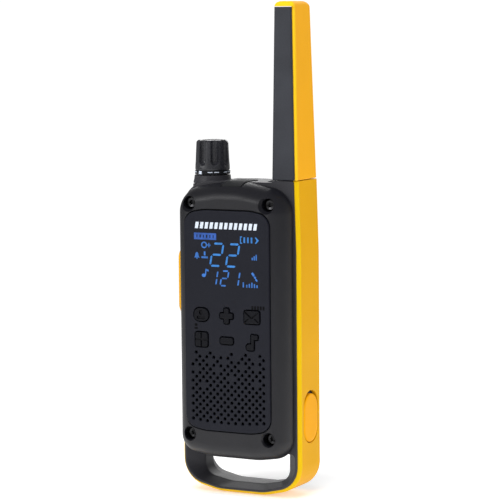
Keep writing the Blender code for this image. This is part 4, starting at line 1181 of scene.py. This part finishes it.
def make_clip():
    """The sprung arm with its lugs, the bracket on the door, and the pin through both."""
    inner, outer = CLIP_PIVOT_Y + 1.6, CLIP_MAX.y
    top, half = CLIP_MAX.z, CLIP_MAX.x
    profile = (
        (inner, top - 0.5), (inner, 50.0), (16.4, 44.5), (17.3, 41.4), (17.7, CLIP_MIN.z + 0.05),
        (18.3, 41.05), (18.6, 41.3), (18.2, 44.4), (outer, 49.5), (outer, top - 0.5),
        (outer - 0.15, top - 0.14), (outer - 0.45, top), (inner + 0.35, top), (inner + 0.1, top - 0.16),
    )
    arm = loft("arm", [(-half, profile), (half, profile)], "X")
    waist = (
        (3.0, 40.0), (-1.8, 40.0), (-0.9, 41.6), (-0.25, 43.2), (0.02, 45.5), (0.02, 92.5),
        (-0.35, 93.4), (-1.2, 94.1), (3.0, 94.1),
    )
    for side in (-1, 1):
        points = [(side * (half + past), z) for past, z in waist]
        cut(arm, loft("side", [(14.0, points), (23.0, points)]))
    heights = [top - 2.2 - 1.7 * number for number in range(4)]
    panel = slab("panel", centred(0, 67.0, 9.0, 28.0, 4.0), outer - 0.35, outer + 1, steps=10)
    cut(arm, merged("hollows", [grooves(heights, 10.0, 0.7, 0.3, (outer - 0.3, outer + 1)), panel]))
    add_ears(arm, (2.9, 4.6), (CLIP_PIVOT_Y, CLIP_PIVOT_Y + 2.0), 1.7, 1.72)
    fit(arm, FRAME, "belt_clip", "belt_clip")
    bracket = block("bracket", (-6.8, 6.8), (14.9, 15.7), (78.0, 91.0), 0.15, 2)
    add_ears(bracket, (5.0, 6.8), (15.4, CLIP_PIVOT_Y), 1.4, 1.38)
    fit(bracket, FRAME, "battery_door", "clip_bracket")
    fit(rod("pin", 0.75, -6.6, 6.6, CLIP_PIVOT, "X"), SPRING, "battery_door", "clip_pin")


# Printed and lit marks on the panel: plain shapes, numerals and bars

MARK_PROUD = 0.03
MARK_DEPTH = 0.12
SLANT = math.tan(math.radians(10))


def flat(points):
    """A thin solid of the given outline, set into the panel's face."""
    return loft("mark", [(PANEL_FRONT - MARK_PROUD, points), (PANEL_FRONT + MARK_DEPTH, points)])


def flat_bar(x, z, width, height, slant=0.0, radius=0.0):
    """A bar, leaning by a slope, centred at a place."""
    points = outline(centred(0, 0, width, height, radius or 0.05), steps=4 if radius else 1)
    return flat([(x + point.x + point.y * slant, z + point.y) for point in points])


def flat_disc(x, z, radius, steps=24, squash=1.0):
    return flat(circle(x, z, radius, steps, squash))


def flat_ring(x, z, radius, inside):
    return cut(flat_disc(x, z, radius), rod("eye", inside, PANEL_FRONT - 1, PANEL_FRONT + 1, (x, z)))


# Segments of a digit: is it level, then its place as shares of the half width and half height
SEGMENTS = {
    "a": (True, 0, 1),
    "b": (False, 1, 0.5),
    "c": (False, 1, -0.5),
    "d": (True, 0, -1),
    "e": (False, -1, -0.5),
    "f": (False, -1, 0.5),
    "g": (True, 0, 0),
}
DIGITS = {"1": "bc", "2": "abged"}


def digit(number, x, z, width, height, thick):
    """The lit segments of a numeral; each is a bar with pointed ends."""
    half_u, half_v = (width - thick) / 2, (height - thick) / 2
    made = []
    for key in DIGITS[number]:
        level, across, up = SEGMENTS[key]
        u, v = across * half_u, up * half_v
        reach = (half_u if level else half_v / 2) - 0.42 * thick
        half = thick / 2
        tip, waist = reach, reach - half
        if level:
            ring = [(-tip, 0), (-waist, -half), (waist, -half), (tip, 0), (waist, half), (-waist, half)]
        else:
            ring = [(0, -tip), (half, -waist), (half, waist), (0, tip), (-half, waist), (-half, -waist)]
        made.append(flat([(x + u + a + (v + b) * SLANT, z + v + b) for a, b in ring]))
    return made


def make_display_marks():
    """Two rows of numerals, a plain label, a charge gauge and small generic symbols."""
    digits = [mark for x in (-4.0, 2.9) for mark in digit("2", x, 95.0, 5.2, 9.4, 0.78)]
    fit(merged("display_channel", digits), CYAN, ROOT)
    small = []
    for number, x, width in (("1", -5.2, 2.9), ("2", -0.75, 3.4), ("1", 4.35, 2.9)):
        small += digit(number, x, 86.0, width, 6.3, 0.6)
    fit(merged("display_code", small), BLUE, ROOT)
    level = [flat_bar(8.0 + 1.55 * number, 101.1, 0.72, 2.2) for number in range(3)]
    tip = ((12.5, 99.9), (13.1, 99.9), (14.2, 101.1), (13.1, 102.3), (12.5, 102.3), (13.3, 101.1))
    level.append(flat(tip))
    level.append(flat_bar(6.35, 101.1, 0.4, 2.8))
    level += [flat_bar(6.8, z, 0.5, 0.4) for z in (102.3, 99.9)]
    fit(merged("display_battery", level), CYAN, ROOT)
    label = flat_bar(-9.05, 101.95, 9.7, 2.6, radius=0.15)
    slots = []
    for number, width in enumerate((0.45, 0.55, 0.4, 0.6, 0.45, 0.4)):
        shape = centred(-12.6 + 1.42 * number, 101.95, width, 1.2, 0.05)
        slots.append(slab("slot", shape, PANEL_FRONT - 1, PANEL_FRONT + 1, steps=2))
    fit(cut(label, merged("slots", slots)), LABEL_BLUE, ROOT)
    fit(merged("display_icons", small_symbols()), BLUE, ROOT)


def small_symbols():
    """A ring and a plus, a bell, a stand, a note, two rows of bars and a slanted tool."""
    half_bell = ((1.2, 93.6), (0.8, 94.1), (0.6, 95.2), (0.2, 95.7))
    bell = [(x - 12.7, z) for x, z in half_bell] + [(-x - 12.7, z) for x, z in half_bell[::-1]]
    note_flag = ((-8.95, 88.7), (-7.7, 88.3), (-7.6, 89.0), (-8.75, 89.4))
    tool = (
        ((10.8, 88.4), (11.5, 88.9), (12.4, 87.8), (11.7, 87.2)),
        ((12.2, 87.5), (13.0, 87.0), (12.7, 86.2), (11.9, 86.8)),
        ((12.8, 86.5), (13.5, 86.0), (13.4, 85.2), (12.5, 85.9)),
    )
    bars = [
        (-7.4, 98.6, 1.5, 0.45), (-7.4, 99.15, 0.45, 0.6), (-7.4, 98.05, 0.45, 0.6),
        (-9.3, 93.8, 2.8, 0.75), (-9.3, 95.3, 0.7, 1.6), (-8.9, 88.1, 0.5, 2.5, 0.1),
    ]
    bars += [(11.35 + 0.85 * i, 94.0 + 0.3 * i, 0.5, 1.0 + 0.6 * i) for i in range(3)]
    for x, height in ((7.4, 2.0), (8.9, 1.1), (10.0, 1.5), (11.1, 2.0), (12.2, 1.5), (13.3, 1.1)):
        bars.append((x, 82.9 + height / 2, 0.55, height))
    clapper, note_head = flat_disc(-12.7, 93.35, 0.32, 12), flat_disc(-9.8, 86.8, 0.85, 20, 0.8)
    made = [flat_ring(-9.5, 98.6, 1.3, 0.78), clapper, note_head]
    made += [flat(points) for points in (bell, note_flag, *tool)]
    return made + [flat_bar(*bar) for bar in bars]


def make_printed_marks():
    """A plain row of leaning bars at the top, and dark captions near two keys."""
    bars = [flat_bar(-12.6 + 2.11 * number, 106.2, 1.35, 2.5, SLANT) for number in range(13)]
    fit(merged("panel_bars", bars), WHITE, ROOT)
    dark = [flat_bar(11.2 + 1.2 * number, 75.2, 0.75, 1.5) for number in range(5)]
    dark += [flat_disc(-13.4, 67.4, 0.6, 16), flat_bar(-13.4, 66.1, 1.5, 0.7, radius=0.3)]
    fit(merged("key_captions", dark), CAPTION, ROOT)


# Speaker, electronics and other pieces that keep their CAD shape


KEPT = {
    NICKEL: (
        "rf_shield", "speaker_basket", "microphone", "usb_socket", "volume_pot", "volume_shaft",
        "battery_contacts_lower", "battery_contacts_upper",
    ),
    FRAME: ("audio_jack", "top_switch", "ptt_switch"),
    RUBBER: ("keypad_sheet", "knob_seal"),
    BOARD: ("main_board",),
    MODULE: ("display_module",),
    GUIDE: ("display_diffuser",),
    PAPER: ("speaker_cone",),
    CLOTH: ("speaker_cloth",),
    FERRITE: ("speaker_magnet",),
    COPPER: ("antenna_coil",),
    CELL: ("battery_cell_1", "battery_cell_2", "battery_cell_3"),
    SPRING: ("clip_spring",),
}
ROUNDED = ("usb_socket", "volume_pot", "top_switch", "ptt_switch", "main_board", "display_module")


def paint_cad():
    """Paint every CAD piece that is kept, and round the edges of the box-like ones."""
    for material, names in KEPT.items():
        for name in names:
            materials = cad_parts[name].data.materials
            materials.clear()
            materials.append(material)
    for name in ROUNDED:
        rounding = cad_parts[name].modifiers.new("rounded edges", "BEVEL")
        rounding.width = 0.12 * MM
        rounding.segments = 2
        rounding.limit_method = "ANGLE"


def make_fairing():
    """A small fairing that runs from the housing's top to the antenna's left foot."""
    low, high = BODY_TOP - 0.8, SEAM_Z - 0.05
    profile = ((9.6, low), (14.5, low), (14.5, high), (13.8, high - 0.03), (10.6, BODY_TOP - 0.1))
    fit(loft("antenna_fairing", [(-6.4, profile), (8.0, profile)]), FRAME, ROOT)


make_front_housing()
make_front_panel()
for key in KEYS:
    make_key(key)
for number, (x, z) in enumerate(SCREWS, 1):
    make_screw(number, x, z)
make_side_band()
make_mid_frame()
make_antenna()
make_fairing()
make_knob()
make_knob_ring()
make_collar()
make_top_button()
make_ptt()
make_port_cover()
make_rear_housing()
make_battery_door()
make_clip()
make_display_marks()
make_printed_marks()
paint_cad()


# Floor, light and camera

WHITE_LIGHT = (1.0, 1.0, 1.0, 1.0)
AIM = Vector((0.0, 0.0, 0.09))


def make_stage():
    bpy.ops.mesh.primitive_plane_add(size=0.9, location=(0, 0, -0.0004))
    floor = bpy.context.object
    floor.name = "floor"
    paint = Paint("floor_white", roughness=0.9)
    broad = paint.noise(60.0, 2.0)
    paint.colour(paint.ramp(broad, (0.3, (0.90, 0.90, 0.90)), (0.7, (0.92, 0.92, 0.92))))
    paint.shader.inputs["Emission Color"].default_value = WHITE_LIGHT
    paint.shader.inputs["Emission Strength"].default_value = 0.38
    floor.data.materials.append(paint.material)


def softbox(name, place, size, power, glossy=True):
    """An area light aimed at the middle of the radio; it may be left out of reflections."""
    light = bpy.data.lights.new(name, "AREA")
    light.shape = "RECTANGLE"
    light.size, light.size_y = size
    light.energy = power
    obj = bpy.data.objects.new(name, light)
    obj.location = place
    obj.visible_glossy = glossy
    obj.rotation_euler = (AIM - Vector(place)).to_track_quat("-Z", "Y").to_euler()
    bpy.context.scene.collection.objects.link(obj)


def make_light():
    """White behind the object, a dimmer surround for its reflections, and five softboxes."""
    world = bpy.data.worlds.new("studio")
    bpy.context.scene.world = world
    world.use_nodes = True
    tree = world.node_tree
    background = tree.nodes["Background"]
    path = tree.nodes.new("ShaderNodeLightPath")
    level = tree.nodes.new("ShaderNodeMapRange")
    level.inputs["To Min"].default_value = 0.25
    level.inputs["To Max"].default_value = 1.05
    tree.links.new(path.outputs["Is Camera Ray"], level.inputs["Value"])
    tree.links.new(level.outputs["Result"], background.inputs["Strength"])
    background.inputs["Color"].default_value = WHITE_LIGHT
    softbox("overhead", (0.0, -0.35, 0.85), (0.8, 0.5), 5.6, glossy=False)
    softbox("left_front", (-0.75, -0.75, 0.55), (0.5, 0.6), 1.5)
    softbox("low_front", (-0.46, -0.89, 0.42), (0.3, 0.2), 2.3)
    softbox("right_side", (0.95, -0.15, 0.40), (0.6, 0.8), 3.5, glossy=False)
    softbox("behind", (-0.2, 0.9, 0.45), (0.9, 0.6), 4.0)


def make_camera():
    azimuth, pitch, roll = math.radians(27.5), math.radians(6.04), math.radians(-0.5)
    distance, eye = 0.888, 0.189
    data = bpy.data.cameras.new("camera")
    data.lens = 164.4
    camera = bpy.data.objects.new("camera", data)
    turn = (
        Matrix.Rotation(azimuth, 4, "Z")
        @ Matrix.Rotation(math.radians(90) - pitch, 4, "X")
        @ Matrix.Rotation(roll, 4, "Z")
    )
    place = (distance * math.sin(azimuth), -distance * math.cos(azimuth), eye)
    camera.matrix_world = Matrix.Translation(place) @ turn
    bpy.context.scene.collection.objects.link(camera)
    bpy.context.scene.camera = camera


make_stage()
make_light()
make_camera()
bpy.context.scene.view_settings.view_transform = "Standard"

bpy.context.view_layer.update()
